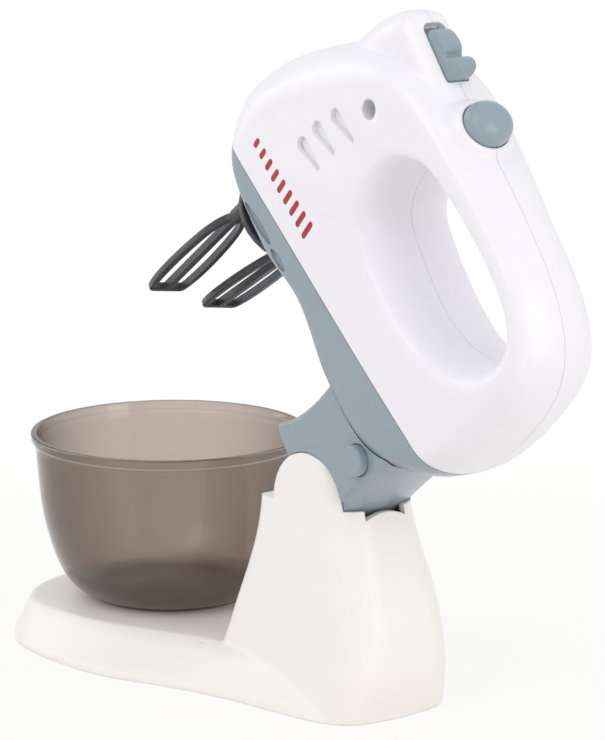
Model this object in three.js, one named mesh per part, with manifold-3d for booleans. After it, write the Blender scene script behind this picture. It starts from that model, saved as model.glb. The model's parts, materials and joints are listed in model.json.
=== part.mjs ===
// Toy stand mixer: a hand mixer that clips into a tilting cradle on a stand with a bowl.
// Millimetres, +Z up. The origin lies on the table under the axis of the bowl.
// X runs from the bowl towards the column, Y runs across. The head is modelled tipped open.
import * as THREE from 'three';
import { mergeVertices } from 'three/addons/utils/BufferGeometryUtils.js';
import Module from 'manifold-3d';

const wasm = await Module();
wasm.setup();

// Fits shared by the whole model
const gap = 0.3;
const halfGap = gap / 2;
const overrun = 2;
const smallestDetail = 0.06;
const weldDistance = 1e-5;

// Stand
const platformHeight = 16;
const baseFront = 57;
const baseRear = 154;
const baseHalfWidth = 66;
const standWall = 2.4;
const columnFootFront = 70;
const columnTopFront = 89.5;
const columnTopRear = 143;
const columnBulge = 15;
const columnFootHalf = 29;
const columnTopHalf = 20.5;
const columnFrontRadius = 3;
const columnRearRadius = 15;
const ribThickness = 1.6;

// Hinge and ears
const hingeX = 120;
const hingeHeight = 80;
const openAngle = THREE.MathUtils.degToRad(54);
const earRadius = 21;
const earThickness = 4;
const ledgeDrop = 0.8;
const rearLedgeRise = 1.5;
const rearNotchDepth = 4;
const rearNotchHalf = 11;
const trunnionRadius = 4.5;
const trunnionLength = 2.6;

// Base cover
const coverThickness = 1.2;
const coverPad = 3.4;
const coverBossRadius = 4.6;

// Bowl
const bowlRadius = 58;
const bowlHeight = 69.7;
const bowlFootRadius = 33;
const bowlWall = 1.6;
const bowlLip = 1.6;
const bowlFootRing = 26;

// Mixer body, measured in the frame of the head: origin on the hinge, Z up when the head is closed
const mixerLength = 180;
const mixerHeight = 121;
const mixerHalfWidth = 23;
const mixerTail = 26.5;
const mixerNose = mixerLength - mixerTail;
const mixerBottom = 34.5;
const mixerWall = 2.2;
const splitRiseShare = 0.213;
const splitAtHinge = 71.8;
const humpHalfWidth = 10.5;
const humpRounding = 4;
const humpTop = 150.5;
const ventLength = 17;
const ventWidth = 4;
const ventDepth = 1.2;
const housingScrewSetback = 49;
const housingScrewX = mixerNose - housingScrewSetback;
const housingScrewHeight = 124.3;
const housingScrewSeat = 10.4;
const counterboreRadius = 3.5;
const bossRadius = 5;

// Cradle
const cradleHalfWidth = 20;
const cradleWall = 2.6;
const cradleFront = 35.5;
const cradleRear = 12.2;
const cradleRounding = 1.2;
const tongueRadius = 15;

// Release button in the cradle
const releaseX = 1.4;
const releaseHeight = 39.3;
const releaseRadius = 5.9;
const releaseProud = 2.8;
const releaseFlange = 2;
const releaseTravel = 2.5;
const catchWidth = 5;
const catchHeight = 18;
const springRadius = 3.2;
const springWire = 0.4;

// Turret and beaters
const turretSetback = 44;
const turretX = mixerNose - turretSetback;
const turretRadius = 20;
const turretRim = 30.3;
const turretThickness = 3;
const turretNeck = 17.2;
const turretFlange = 19.2;
const shaftRadius = 3;
const socketDepth = 9;
const beaterReach = 14.2;
const beaterBearing = THREE.MathUtils.degToRad(50);
const beaterLean = THREE.MathUtils.degToRad(6);
const beaterTurn = THREE.MathUtils.degToRad(82);
const stemRadius = 2.5;
const loopLength = 67;
const loopDrop = 6.8;
const loopHalfWidth = 10;
const beaterBar = 2.5;
const beaterDepth = 2.8;

// Drive
const toothModule = 1;
const pinionTeeth = 8;
const driveTeeth = 32;
const toothShrinkShare = 0.86;
const gearWidth = 6;
const motorRadius = 10;
const motorFlat = 7.5;
const motorLength = 25;
const motorShaft = 1;
const plateHeight = 63;
const plateThickness = 2;
const plateHalf = 16;
const plateReach = 23.5;
const platePostRadius = 2.6;

// Controls on the handle
const sliderSetback = 43.5;
const sliderX = mixerNose - sliderSetback;
const sliderLength = 22;
const sliderHalf = 5;
const sliderTravel = 3;
const sliderHeight = 11;
const recessFloor = 147.5;
const boostSetback = 75.5;
const boostX = mixerNose - boostSetback;
const boostHalfLength = 9;
const boostHalfWidth = 10;
const boostRise = 7;
const boostSeat = 155.6;
const boostTravel = 2;

// Batteries: two small cells side by side, in line with the split of the housing
const cellRadius = 5.25;
const cellLength = 44.5;
const cellPitch = 11;
const cellSetback = 116.5;
const cellX = mixerNose - cellSetback;
const cellOffset = 8;
const cellInset = 5.6;
const trayWall = 1.2;
const contactThickness = 0.5;
const doorMargin = 1.8;
const doorScrewAlong = 30;

// Small fasteners
const screwRadius = 1.4;
const screwHeadRadius = 2.8;
const screwHeadHeight = 1.8;
const screwBite = 7;

const white = { color: 0xf0eef2, roughness: 0.32, metalness: 0 };
const warmWhite = { color: 0xf2f0ec, roughness: 0.38, metalness: 0 };
const blueGrey = { color: 0x9fb0b7, roughness: 0.4, metalness: 0 };
const darkGrey = { color: 0x4b4b50, roughness: 0.45, metalness: 0 };
const smoke = { color: 0x8d8078, roughness: 0.12, metalness: 0 };
const steel = { color: 0xb8bcc0, roughness: 0.3, metalness: 1 };

// Solids

// Turns a closed geometry into a solid with its faces pointing out
function solid(geometry) {
  const bare = geometry.clone();
  for (const name of Object.keys(bare.attributes)) {
    if (name !== 'position') bare.deleteAttribute(name);
  }
  const merged = mergeVertices(bare, weldDistance);
  const vertProperties = Float32Array.from(merged.attributes.position.array);
  const triVerts = Uint32Array.from(merged.index.array);
  if (signedVolume(vertProperties, triVerts) < 0) {
    for (let i = 0; i < triVerts.length; i += 3) {
      const first = triVerts[i];
      triVerts[i] = triVerts[i + 1];
      triVerts[i + 1] = first;
    }
  }
  return new wasm.Manifold(new wasm.Mesh({ numProp: 3, vertProperties, triVerts }));
}

function signedVolume(points, triangles) {
  const corner = [0, 1, 2].map(() => new THREE.Vector3());
  let sum = 0;
  for (let i = 0; i < triangles.length; i += 3) {
    corner.forEach((p, k) => p.fromArray(points, 3 * triangles[i + k]));
    sum += corner[0].dot(corner[1].cross(corner[2]));
  }
  return sum;
}

function geometryOf(body) {
  const mesh = body.simplify(smallestDetail).getMesh();
  const geometry = new THREE.BufferGeometry();
  geometry.setAttribute('position', new THREE.BufferAttribute(Float32Array.from(mesh.vertProperties), 3));
  geometry.setIndex(Array.from(mesh.triVerts));
  geometry.computeVertexNormals();
  return geometry;
}

function box(x0, x1, y0, y1, z0, z1) {
  const shape = new THREE.BoxGeometry(x1 - x0, y1 - y0, z1 - z0);
  shape.translate((x0 + x1) / 2, (y0 + y1) / 2, (z0 + z1) / 2);
  return solid(shape);
}

// An upright cylinder from z0 to z1
function post(x, y, z0, z1, radius, sides = 24) {
  const shape = new THREE.CylinderGeometry(radius, radius, z1 - z0, sides);
  shape.rotateX(Math.PI / 2);
  shape.translate(x, y, (z0 + z1) / 2);
  return solid(shape);
}

// A cylinder along Y from y0 to y1
function pin(x, z, y0, y1, radius, sides = 24) {
  const shape = new THREE.CylinderGeometry(radius, radius, y1 - y0, sides);
  shape.translate(x, (y0 + y1) / 2, z);
  return solid(shape);
}

// A solid of revolution about Z from a profile of [radius, height] points
function turned(profile, sides, x = 0, y = 0) {
  const points = profile.map(([radius, height]) => new THREE.Vector2(radius, height));
  const shape = new THREE.LatheGeometry(points, sides);
  shape.rotateX(Math.PI / 2);
  shape.translate(x, y, 0);
  return solid(shape);
}

// A side profile in X and Z, extruded across from y0 to y1
function acrossProfile(shape, y0, y1, rounding = 0, steps = 3, curveSegments = 12) {
  const rounded = rounding > 0;
  const geometry = new THREE.ExtrudeGeometry(shape, {
    depth: y1 - y0 - 2 * rounding,
    curveSegments,
    bevelEnabled: rounded,
    bevelThickness: rounding,
    bevelSize: rounding,
    bevelOffset: -rounding,
    bevelSegments: steps,
  });
  geometry.rotateX(Math.PI / 2);
  geometry.translate(0, y1 - rounding, 0);
  return solid(geometry);
}

// A plan outline in X and Y, extruded up from z0 to z1
function uprightProfile(shape, z0, z1, curveSegments = 12) {
  const geometry = new THREE.ExtrudeGeometry(shape, { depth: z1 - z0, curveSegments, bevelEnabled: false });
  geometry.translate(0, 0, z0);
  return solid(geometry);
}

// Triangles between rings of equal count; the row of rings can close on itself
function ringFaces(ringCount, count, closed) {
  const faces = [];
  const last = closed ? ringCount : ringCount - 1;
  for (let i = 0; i < last; i += 1) {
    for (let j = 0; j < count; j += 1) {
      const a = i * count + j;
      const b = i * count + (j + 1) % count;
      const c = ((i + 1) % ringCount) * count + j;
      const d = ((i + 1) % ringCount) * count + (j + 1) % count;
      faces.push(a, b, d, a, d, c);
    }
  }
  return faces;
}

function geometryFrom(points, faces) {
  const geometry = new THREE.BufferGeometry();
  const numbers = points.flatMap((p) => [p.x, p.y, p.z]);
  geometry.setAttribute('position', new THREE.Float32BufferAttribute(numbers, 3));
  geometry.setIndex(faces);
  return geometry;
}

// A skin through rings that mirror across Y, with its two ends closed by strips straight across
function mirroredLoft(rings) {
  const count = rings[0].length;
  const faces = ringFaces(rings.length, count, false);
  const half = count / 2;
  for (const [start, flip] of [[0, true], [(rings.length - 1) * count, false]]) {
    for (let j = 0; j < half; j += 1) {
      const near = [start + j, start + j + 1];
      const far = [start + (count - j) % count, start + count - j - 1];
      const quad = [near[0], near[1], far[1], near[0], far[1], far[0]];
      if (flip) quad.reverse();
      for (let k = 0; k < 6; k += 3) {
        const tri = quad.slice(k, k + 3);
        if (new Set(tri).size === 3) faces.push(...tri);
      }
    }
  }
  return solid(geometryFrom(rings.flat(), faces));
}

// Curve through closed rows of numbers, one row for each station
function closedCurve(rows) {
  return new THREE.CatmullRomCurve3(rows.map((row) => new THREE.Vector3(...row)), true, 'catmullrom', 0.5);
}

function mesh(name, body, look) {
  const part = new THREE.Mesh(geometryOf(body), new THREE.MeshStandardMaterial(look));
  part.name = name;
  return part;
}

// Stand

// Outline of the base at the table and at the platform, from the front centre to the rear centre.
// Each row: foot along, foot half width, top along, top half width, height of the top edge.
const baseShares = [
  [0, 0, 0.020, 0, 1],
  [0.015, 0.40, 0.030, 0.30, 1],
  [0.05, 0.66, 0.055, 0.52, 1],
  [0.10, 0.84, 0.100, 0.70, 1],
  [0.17, 0.96, 0.160, 0.81, 1],
  [0.25, 1, 0.26, 0.80, 1],
  [0.336, 1, 0.36, 0.74, 1],
  [0.455, 0.94, 0.47, 0.60, 1],
  [0.60, 0.735, 0.60, 0.425, 1],
  [0.735, 0.595, 0.735, 0.42, 0.90],
  [0.877, 0.505, 0.877, 0.415, 0.56],
  [0.95, 0.42, 0.945, 0.36, 0.38],
  [0.99, 0.22, 0.98, 0.20, 0.28],
  [1, 0, 0.993, 0, 0.25],
];
// How the skirt of the base goes from the foot outline to the top outline: across, up
const skirtShares = [[0, 0], [0.03, 0.16], [0.36, 0.46], [0.74, 0.82], [0.95, 0.965], [1, 1]];
const baseSteps = 36;

function baseRows() {
  const mirrored = baseShares.slice(1, -1).reverse().map(([a, b, c, d, e]) => [a, -b, c, -d, e]);
  return [...baseShares, ...mirrored];
}

function footCurve() {
  return closedCurve(baseRows().map(([along, half]) => [along, -half, 0]));
}

// A point of the base outline, given as shares, moved in by inset
function baseSpot(along, across, inset) {
  const length = baseFront + baseRear;
  const middle = (baseRear - baseFront) / 2;
  const x = along * length - baseFront - middle;
  return [middle + x * (1 - inset / (length / 2)), across * (baseHalfWidth - inset)];
}

function baseLoft(inset, floorHeight, roofDrop) {
  const foot = footCurve();
  const top = closedCurve(baseRows().map(([, , along, half, up]) => [along, -half, up]));
  return mirroredLoft(skirtShares.map(([across, up], k) => {
    const ring = [];
    for (let i = 0; i < baseSteps; i += 1) {
      const spot = foot.getPoint(i / baseSteps).lerp(top.getPoint(i / baseSteps), across);
      const roof = top.getPoint(i / baseSteps).z * platformHeight - roofDrop;
      ring.push(new THREE.Vector3(...baseSpot(spot.x, spot.y, inset), k === 0 ? floorHeight : up * roof));
    }
    return ring;
  }));
}

// Sections of the column: height, front edge, rear edge, half width
const columnShares = [
  [0, 0, 0.67, 0],
  [0.20, 0.10, 0.97, 0.28],
  [0.31, 0.24, 1, 0.41],
  [0.44, 0.42, 0.95, 0.53],
  [0.64, 0.73, 0.67, 0.70],
  [0.81, 0.92, 0.30, 0.86],
  [1, 1, 0, 1],
  [1.3, 1.02, -0.35, 1],
];

// Half of a plan outline with a flat front, straight sides and a rounded rear, mirrored to a ring
function columnRing(front, rear, half, frontRadius, rearRadius, z) {
  const near = [[front, 0], [front, (half - frontRadius) / 2]];
  const cornerSteps = 3;
  for (let i = 0; i <= cornerSteps; i += 1) {
    const angle = (i / cornerSteps) * Math.PI / 2;
    near.push([front + frontRadius * (1 - Math.cos(angle)), half - frontRadius * (1 - Math.sin(angle))]);
  }
  const sideSteps = 2;
  for (let i = 1; i < sideSteps; i += 1) {
    near.push([THREE.MathUtils.lerp(front + frontRadius, rear - rearRadius, i / sideSteps), half]);
  }
  const roundSteps = 5;
  for (let i = 0; i <= roundSteps; i += 1) {
    const angle = (i / roundSteps) * Math.PI / 2;
    near.push([rear - rearRadius * (1 - Math.sin(angle)), half - rearRadius * (1 - Math.cos(angle))]);
  }
  near.push([rear, 0]);
  const far = near.slice(1, -1).reverse().map(([x, y]) => [x, -y]);
  return [...near, ...far].map(([x, y]) => new THREE.Vector3(x, -y, z));
}

function columnLoft(inset, halfLimit) {
  return mirroredLoft(columnShares.map(([up, frontShare, rearShare, halfShare], k) => {
    const front = THREE.MathUtils.lerp(columnFootFront, columnTopFront, frontShare) + inset;
    const rear = columnTopRear + columnBulge * rearShare - inset;
    const fullHalf = THREE.MathUtils.lerp(columnFootHalf, columnTopHalf, halfShare);
    const half = Math.min(fullHalf - inset, halfLimit(up));
    const ends = k === 0 || k === columnShares.length - 1;
    const reach = inset > 0 && ends ? overrun * (k === 0 ? -1 : 1) : 0;
    const frontRadius = Math.max(columnFrontRadius - inset, columnFrontRadius / 3);
    return columnRing(front, rear, half, frontRadius, columnRearRadius - inset, up * hingeHeight + reach);
  }));
}

// Everything above the ledges that isn't an ear
function aboveLedges() {
  const ledge = hingeHeight - ledgeDrop;
  const top = hingeHeight + 2 * earRadius;
  const shape = new THREE.Shape();
  shape.moveTo(columnFootFront - overrun, ledge);
  shape.lineTo(hingeX - earRadius, ledge);
  shape.absarc(hingeX, hingeHeight, earRadius, Math.PI, 0, true);
  shape.lineTo(hingeX + earRadius, ledge + rearLedgeRise);
  shape.lineTo(baseRear + columnBulge, ledge + rearLedgeRise);
  shape.lineTo(baseRear + columnBulge, top);
  shape.lineTo(columnFootFront - overrun, top);
  return acrossProfile(shape, -baseHalfWidth, baseHalfWidth, 0, 0, 20);
}

const coverBosses = [[-0.55, 0.42], [-0.55, -0.42], [1.14, 0.42], [1.14, -0.42]]
  .map(([along, across]) => [along * baseFront, across * baseHalfWidth]);

// The low place in the rear edge of the column that the cradle leans on
function rearNotch(margin) {
  const floor = hingeHeight - ledgeDrop + rearLedgeRise - rearNotchDepth;
  const half = rearNotchHalf - margin;
  return box(hingeX, baseRear + columnBulge, -half, half, floor + margin, hingeHeight + 2 * earRadius);
}

function standShell() {
  const earInner = columnTopHalf - earThickness;
  const limit = (up) => (up > 0.75 ? earInner : columnFootHalf);
  let shell = baseLoft(0, 0, 0).add(columnLoft(0, () => columnFootHalf));
  shell = shell.subtract(aboveLedges());
  shell = shell.subtract(columnLoft(standWall, limit));
  shell = shell.subtract(baseLoft(standWall, -overrun, standWall));
  shell = shell.subtract(rearNotch(0));
  const top = hingeHeight + 2 * earRadius;
  const ledge = hingeHeight - ledgeDrop;
  shell = shell.subtract(box(hingeX - earRadius, baseRear, -earInner, earInner, ledge, top));
  const seatDepth = earInner + trunnionLength + gap;
  shell = shell.subtract(pin(hingeX, hingeHeight, -seatDepth, seatDepth, trunnionRadius + gap));
  const roof = platformHeight - standWall / 2;
  for (const [x, y] of coverBosses) {
    shell = shell.add(post(x, y, coverPad + gap, roof, coverBossRadius, 16));
  }
  for (const y of [-1, 1]) {
    const mid = y * 0.24 * baseHalfWidth;
    shell = shell.add(box(-0.8 * baseFront, 0.8 * columnFootFront, mid - ribThickness / 2,
      mid + ribThickness / 2, coverPad, roof));
  }
  for (const [x, y] of coverBosses) {
    shell = shell.subtract(post(x, y, -overrun, platformHeight - 2 * standWall, screwRadius + halfGap, 12));
  }
  return shell;
}

function baseCover() {
  const foot = footCurve();
  const outline = [];
  for (let i = 0; i < baseSteps; i += 1) {
    const spot = foot.getPoint(i / baseSteps);
    outline.push(new THREE.Vector2(...baseSpot(spot.x, spot.y, standWall + 4 * gap)));
  }
  let cover = uprightProfile(new THREE.Shape(outline), 0, coverThickness);
  for (const [x, y] of coverBosses) {
    cover = cover.add(post(x, y, 0, coverPad, coverBossRadius, 16));
    cover = cover.subtract(post(x, y, -overrun, screwHeadHeight + gap, screwHeadRadius + gap, 14));
    cover = cover.subtract(post(x, y, -overrun, coverPad + overrun, screwRadius + gap, 10));
  }
  return cover;
}

// A slotted screw standing on its head, with the shank pointing up
function screw(length) {
  const slot = screwHeadHeight / 3;
  const head = post(0, 0, 0, screwHeadHeight, screwHeadRadius, 12);
  const shank = post(0, 0, screwHeadHeight / 2, screwHeadHeight + length, screwRadius, 6);
  const cross = box(-screwHeadRadius, screwHeadRadius, -slot / 2, slot / 2, -overrun, slot);
  return head.add(shank).subtract(cross);
}

// Bowl

function bowl() {
  // Radius as a share of the rim, height as a share of the bowl
  const wallShares = [
    [0.66, 0.045], [0.745, 0.11], [0.825, 0.22], [0.895, 0.38], [0.942, 0.58], [0.968, 0.93],
  ];
  const foot = platformHeight + gap;
  const at = ([radius, up]) => [radius * bowlRadius, foot + up * bowlHeight];
  const outer = wallShares.map(at);
  const inner = outer.map(([radius, z]) => [radius - bowlWall, z + bowlWall * 0.6]).reverse();
  const top = foot + bowlHeight;
  const profile = [
    [0, foot + bowlWall], [bowlFootRing, foot + bowlWall], [bowlFootRing + bowlWall, foot],
    [bowlFootRadius, foot], [bowlFootRadius + bowlWall, foot + bowlWall],
    ...outer,
    [bowlRadius - bowlLip / 2, top - 2.2 * bowlLip], [bowlRadius, top - 1.6 * bowlLip],
    [bowlRadius, top - bowlLip / 2], [bowlRadius - bowlLip / 2, top],
    [bowlRadius - 1.4 * bowlLip, top - bowlLip / 4],
    ...inner,
    [bowlFootRing, foot + 2.2 * bowlWall], [0, foot + 2.2 * bowlWall],
  ];
  return turned(profile, 36);
}

// Mixer body

// Ribs round the handle hole. Each row: outer edge along, outer edge up, hole edge along, hole edge up,
// half width, rounding of the outer edge, rounding of the hole edge.
const bodyRibShares = [
  [0.478, 0.050, 0.522, 0.504, 1.00, 0.28, 0.36],
  [0.320, 0.000, 0.456, 0.525, 1.00, 0.20, 0.38],
  [0.110, 0.000, 0.417, 0.595, 1.00, 0.34, 0.38],
  [0.004, 0.130, 0.403, 0.669, 0.97, 0.90, 0.38],
  [0.002, 0.336, 0.406, 0.726, 0.96, 1.10, 0.38],
  [0.044, 0.530, 0.419, 0.780, 0.97, 1.10, 0.40],
  [0.105, 0.710, 0.444, 0.825, 0.96, 1.00, 0.40],
  [0.194, 0.860, 0.478, 0.855, 0.92, 0.80, 0.40],
  [0.305, 0.935, 0.533, 0.868, 0.86, 0.64, 0.34],
  [0.472, 0.975, 0.611, 0.872, 0.78, 0.59, 0.30],
  [0.628, 0.990, 0.711, 0.877, 0.745, 0.59, 0.30],
  [0.778, 0.985, 0.794, 0.872, 0.76, 0.60, 0.30],
  [0.889, 0.935, 0.839, 0.842, 0.80, 0.64, 0.34],
  [0.953, 0.845, 0.858, 0.794, 0.85, 0.66, 0.38],
  [0.986, 0.720, 0.856, 0.720, 0.88, 0.70, 0.38],
  [1.000, 0.557, 0.831, 0.640, 0.92, 0.70, 0.38],
  [0.994, 0.377, 0.783, 0.570, 0.95, 0.65, 0.38],
  [0.944, 0.204, 0.722, 0.525, 0.97, 0.55, 0.36],
  [0.839, 0.066, 0.656, 0.504, 0.99, 0.46, 0.36],
  [0.667, 0.026, 0.589, 0.500, 1.00, 0.36, 0.36],
];
const outsideSteps = 38;
const insideSteps = 24;
const edgeFullness = 2.3;

// The whole outside of the mixer as a ring round the handle hole, moved in by inset
function bodyLoft(inset, bodySteps = outsideSteps, edgeSteps = 3) {
  const outer = closedCurve(bodyRibShares.map((r) => [r[0], 0, r[1]]));
  const hole = closedCurve(bodyRibShares.map((r) => [r[2], 0, r[3]]));
  const sizes = closedCurve(bodyRibShares.map((r) => [r[4], r[5], r[6]]));
  const scale = new THREE.Vector3(mixerLength, 0, mixerHeight);
  const corner = new THREE.Vector3(-mixerNose, 0, mixerBottom);
  const points = [];
  for (let i = 0; i < bodySteps; i += 1) {
    const t = i / bodySteps;
    const from = outer.getPoint(t).multiply(scale).add(corner);
    const to = hole.getPoint(t).multiply(scale).add(corner);
    const size = sizes.getPoint(t).multiplyScalar(mixerHalfWidth);
    const inward = to.clone().sub(from).normalize();
    const span = from.distanceTo(to) - 2 * inset;
    from.addScaledVector(inward, inset);
    const half = size.x - inset;
    const outerRound = Math.max(size.y - inset, mixerWall);
    const holeRound = Math.max(size.z + inset, mixerWall);
    const fit = Math.min(1, 0.94 * span / (outerRound + holeRound));
    points.push(...sectionPoints(from, inward, span, half, outerRound * fit, holeRound * fit, edgeSteps));
  }
  const count = points.length / bodySteps;
  return solid(geometryFrom(points, ringFaces(bodySteps, count, true)));
}

// One section across the mixer, flat on its sides and rounded towards its two edges
function sectionPoints(from, inward, span, half, outerRound, holeRound, edgeSteps) {
  const near = [];
  const power = 2 / edgeFullness;
  for (let k = 0; k <= edgeSteps; k += 1) {
    const angle = (k / edgeSteps) * Math.PI / 2;
    near.push([outerRound * (1 - Math.cos(angle) ** power), half * Math.sin(angle) ** power]);
  }
  near.push([(outerRound + span - holeRound) / 2, half]);
  for (let k = edgeSteps; k >= 0; k -= 1) {
    const angle = (k / edgeSteps) * Math.PI / 2;
    near.push([span - holeRound * (1 - Math.cos(angle) ** power), half * Math.sin(angle) ** power]);
  }
  const far = near.slice(1, -1).reverse().map(([depth, y]) => [depth, -y]);
  return [...near, ...far].map(([depth, y]) => {
    const point = from.clone().addScaledVector(inward, depth);
    point.y = -y;
    return point;
  });
}

// The raised front end of the handle that carries the slider
function hump() {
  const front = -0.892 * mixerNose;
  const shape = new THREE.Shape();
  shape.moveTo(0.71 * -mixerNose, 0.80 * humpTop);
  shape.lineTo(front, 0.73 * humpTop);
  shape.bezierCurveTo(1.02 * front, 0.87 * humpTop, 0.985 * front, 0.98 * humpTop, 0.93 * front, humpTop);
  shape.lineTo(0.68 * front, 1.004 * humpTop);
  shape.lineTo(0.53 * front, 0.98 * humpTop);
  return acrossProfile(shape, -humpHalfWidth, humpHalfWidth, humpRounding, 3, 5);
}

const mixerOutside = bodyLoft(0).add(hump());
const mixerInside = bodyLoft(mixerWall, insideSteps, 2);
// What grows out of the wall from inside is trimmed to this skin, halfway through the wall
const mixerCore = bodyLoft(mixerWall / 2, insideSteps, 2);

function splitHeight(x) {
  return splitAtHinge + splitRiseShare * x;
}

// Everything below the line where the grey lower housing meets the white halves
function belowSplit(offset) {
  const left = -mixerNose - 2 * overrun;
  const right = mixerLength - mixerNose + 2 * overrun;
  const shape = new THREE.Shape();
  shape.moveTo(left, 0);
  shape.lineTo(right, 0);
  shape.lineTo(right, splitHeight(right) + offset);
  shape.lineTo(left, splitHeight(left) + offset);
  return acrossProfile(shape, -2 * mixerHalfWidth, 2 * mixerHalfWidth);
}

function halfSpace(side) {
  const reach = 2 * mixerLength;
  const near = side < 0 ? -reach : halfGap;
  const far = side < 0 ? -halfGap : reach;
  return box(-reach, reach, near, far, -reach, reach);
}

// A slot with round ends that tapers towards its rear
function ventShape(x, z) {
  const wide = ventWidth / 2;
  const narrow = wide / 2;
  const shape = new THREE.Shape();
  shape.moveTo(x - ventLength / 2 + wide, z + wide);
  shape.absarc(x - ventLength / 2 + wide, z, wide, Math.PI / 2, 1.5 * Math.PI, false);
  shape.lineTo(x + ventLength / 2 - narrow, z - narrow);
  shape.absarc(x + ventLength / 2 - narrow, z, narrow, -Math.PI / 2, Math.PI / 2, false);
  return shape;
}

// The skin that the vents are sunk down to
const ventFloor = bodyLoft(ventDepth);
const ventPlaces = [[-0.700, 0.692], [-0.702, 0.780], [-0.690, 0.880]];

// Ribs that hold the motor, grown out of the wall of a housing half
function motorRibs() {
  const motorX = motorPlace();
  let ribs = null;
  for (const up of [0.28, 0.78]) {
    const z = plateHeight + plateThickness + up * motorLength;
    const rib = box(motorX - 1.5 * motorRadius, motorX + 1.5 * motorRadius, -mixerHalfWidth, mixerHalfWidth,
      z, z + ribThickness);
    ribs = ribs ? ribs.add(rib) : rib;
  }
  return ribs.intersect(mixerCore).subtract(motorCan(gap));
}

function housingHalf(side) {
  const wallReach = mixerHalfWidth - mixerWall / 2;
  const bossStart = side < 0 ? -wallReach : halfGap;
  const bossEnd = side < 0 ? -halfGap : wallReach;
  const bosses = pin(-housingScrewX, housingScrewHeight, bossStart, bossEnd, bossRadius, 20)
    .intersect(mixerCore);
  let half = mixerOutside.subtract(mixerInside).subtract(humpPocket()).add(bosses).add(motorRibs());
  half = half.add(upperScrewBoss(side)).add(boostCollar());
  half = half.subtract(belowSplit(halfGap)).intersect(halfSpace(side));
  for (const [along, up] of ventPlaces) {
    const vent = ventShape(along * mixerNose, up * housingScrewHeight);
    const reach = side < 0 ? [-2 * mixerHalfWidth, 0] : [0, 2 * mixerHalfWidth];
    half = half.subtract(acrossProfile(vent, ...reach, 0, 0, 5).subtract(ventFloor));
  }
  if (side < 0) {
    half = half.subtract(pin(-housingScrewX, housingScrewHeight, -2 * mixerHalfWidth, -housingScrewSeat,
      counterboreRadius, 20));
  }
  half = half.subtract(pin(-housingScrewX, housingScrewHeight, -0.6 * mixerHalfWidth, 0.6 * mixerHalfWidth,
    screwRadius + gap, 12));
  half = half.subtract(sliderRecess()).subtract(boostOpening());
  if (side > 0) half = half.subtract(doorCut(0));
  return half;
}

function humpPocket() {
  const front = 0.83 * -mixerNose;
  const rear = 0.60 * -mixerNose;
  const half = humpHalfWidth - 1.4 * mixerWall;
  return box(front, rear, -half, half, 0.82 * recessFloor, recessFloor - mixerWall);
}

// The recess that the slider runs in, with the narrow slot for its neck
function sliderRecess() {
  const front = -sliderX - sliderLength / 2 - sliderTravel;
  const rear = -sliderX + sliderLength / 2 + gap;
  const half = sliderHalf + gap;
  const recess = box(front, rear, -half, half, recessFloor, 2 * recessFloor);
  const slotEnd = sliderLength / 8;
  const slot = box(front + slotEnd, rear - slotEnd, -half / 2, half / 2, recessFloor - 2 * mixerWall,
    recessFloor + overrun);
  return recess.add(slot);
}

// Side view of the slider: a low front lobe, a dip for the thumb and a higher rear lobe
function sliderProfile() {
  const foot = recessFloor + gap;
  const at = (along, up) => [-sliderX + along * sliderLength, foot + up * sliderHeight];
  const shape = new THREE.Shape();
  shape.moveTo(...at(-0.5, 0));
  shape.lineTo(...at(0.5, 0));
  shape.lineTo(...at(0.5, 0.67));
  shape.quadraticCurveTo(...at(0.49, 1), ...at(0.34, 1));
  shape.quadraticCurveTo(...at(0.18, 0.97), ...at(0.10, 0.64));
  shape.quadraticCurveTo(...at(0.04, 0.48), ...at(-0.08, 0.53));
  shape.lineTo(...at(-0.28, 0.58));
  shape.quadraticCurveTo(...at(-0.45, 0.55), ...at(-0.5, 0.24));
  return shape;
}

function speedSlider() {
  const grip = acrossProfile(sliderProfile(), -sliderHalf, sliderHalf, sliderHalf / 5, 2, 5);
  const foot = recessFloor - mixerWall - gap;
  const neckHalf = 0.28 * sliderLength;
  const neck = box(-sliderX - neckHalf, -sliderX + neckHalf, -sliderHalf / 3, sliderHalf / 3,
    foot - ribThickness, recessFloor + overrun);
  const flangeHalf = 0.36 * sliderLength;
  const flange = box(-sliderX - flangeHalf, -sliderX + flangeHalf, -sliderHalf, sliderHalf,
    foot - ribThickness, foot);
  return grip.add(neck).add(flange);
}

function boostOutline(margin) {
  const shape = new THREE.Shape();
  shape.absellipse(-boostX, 0, boostHalfLength + margin, boostHalfWidth + margin, 0, 2 * Math.PI);
  return shape;
}

function boostOpening() {
  return uprightProfile(boostOutline(gap), boostSeat - 5 * mixerWall, 2 * boostSeat);
}

// The swelling of the housing round the button, wider at its foot
function boostCollar() {
  const profile = [[0, 3], [1.5, 3], [1.32, 1.4], [1.2, 0.2], [0, 0.2]];
  const points = profile.map(([share, drop]) => new THREE.Vector2(share, boostSeat - drop * mixerWall));
  const shape = new THREE.LatheGeometry(points, 20);
  shape.rotateX(Math.PI / 2);
  shape.scale(boostHalfLength, boostHalfWidth, 1);
  shape.translate(-boostX, 0, 0);
  return solid(shape);
}

function boostButton() {
  const foot = boostSeat - 3.8 * mixerWall;
  const flange = 1 + 2 * gap / boostHalfLength;
  const rim = foot + ribThickness / 2;
  const profile = [[0, foot], [flange, foot], [flange, rim], [1, rim]];
  const domeSteps = 5;
  for (let i = 0; i <= domeSteps; i += 1) {
    const angle = (i / domeSteps) * Math.PI / 2;
    profile.push([i < domeSteps ? Math.cos(angle) : 0, boostSeat + boostRise * Math.sin(angle)]);
  }
  const shape = new THREE.LatheGeometry(profile.map(([r, h]) => new THREE.Vector2(r, h)), 24);
  shape.rotateX(Math.PI / 2);
  shape.scale(boostHalfLength, boostHalfWidth, 1);
  shape.translate(-boostX, 0, 0);
  return solid(shape);
}

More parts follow.
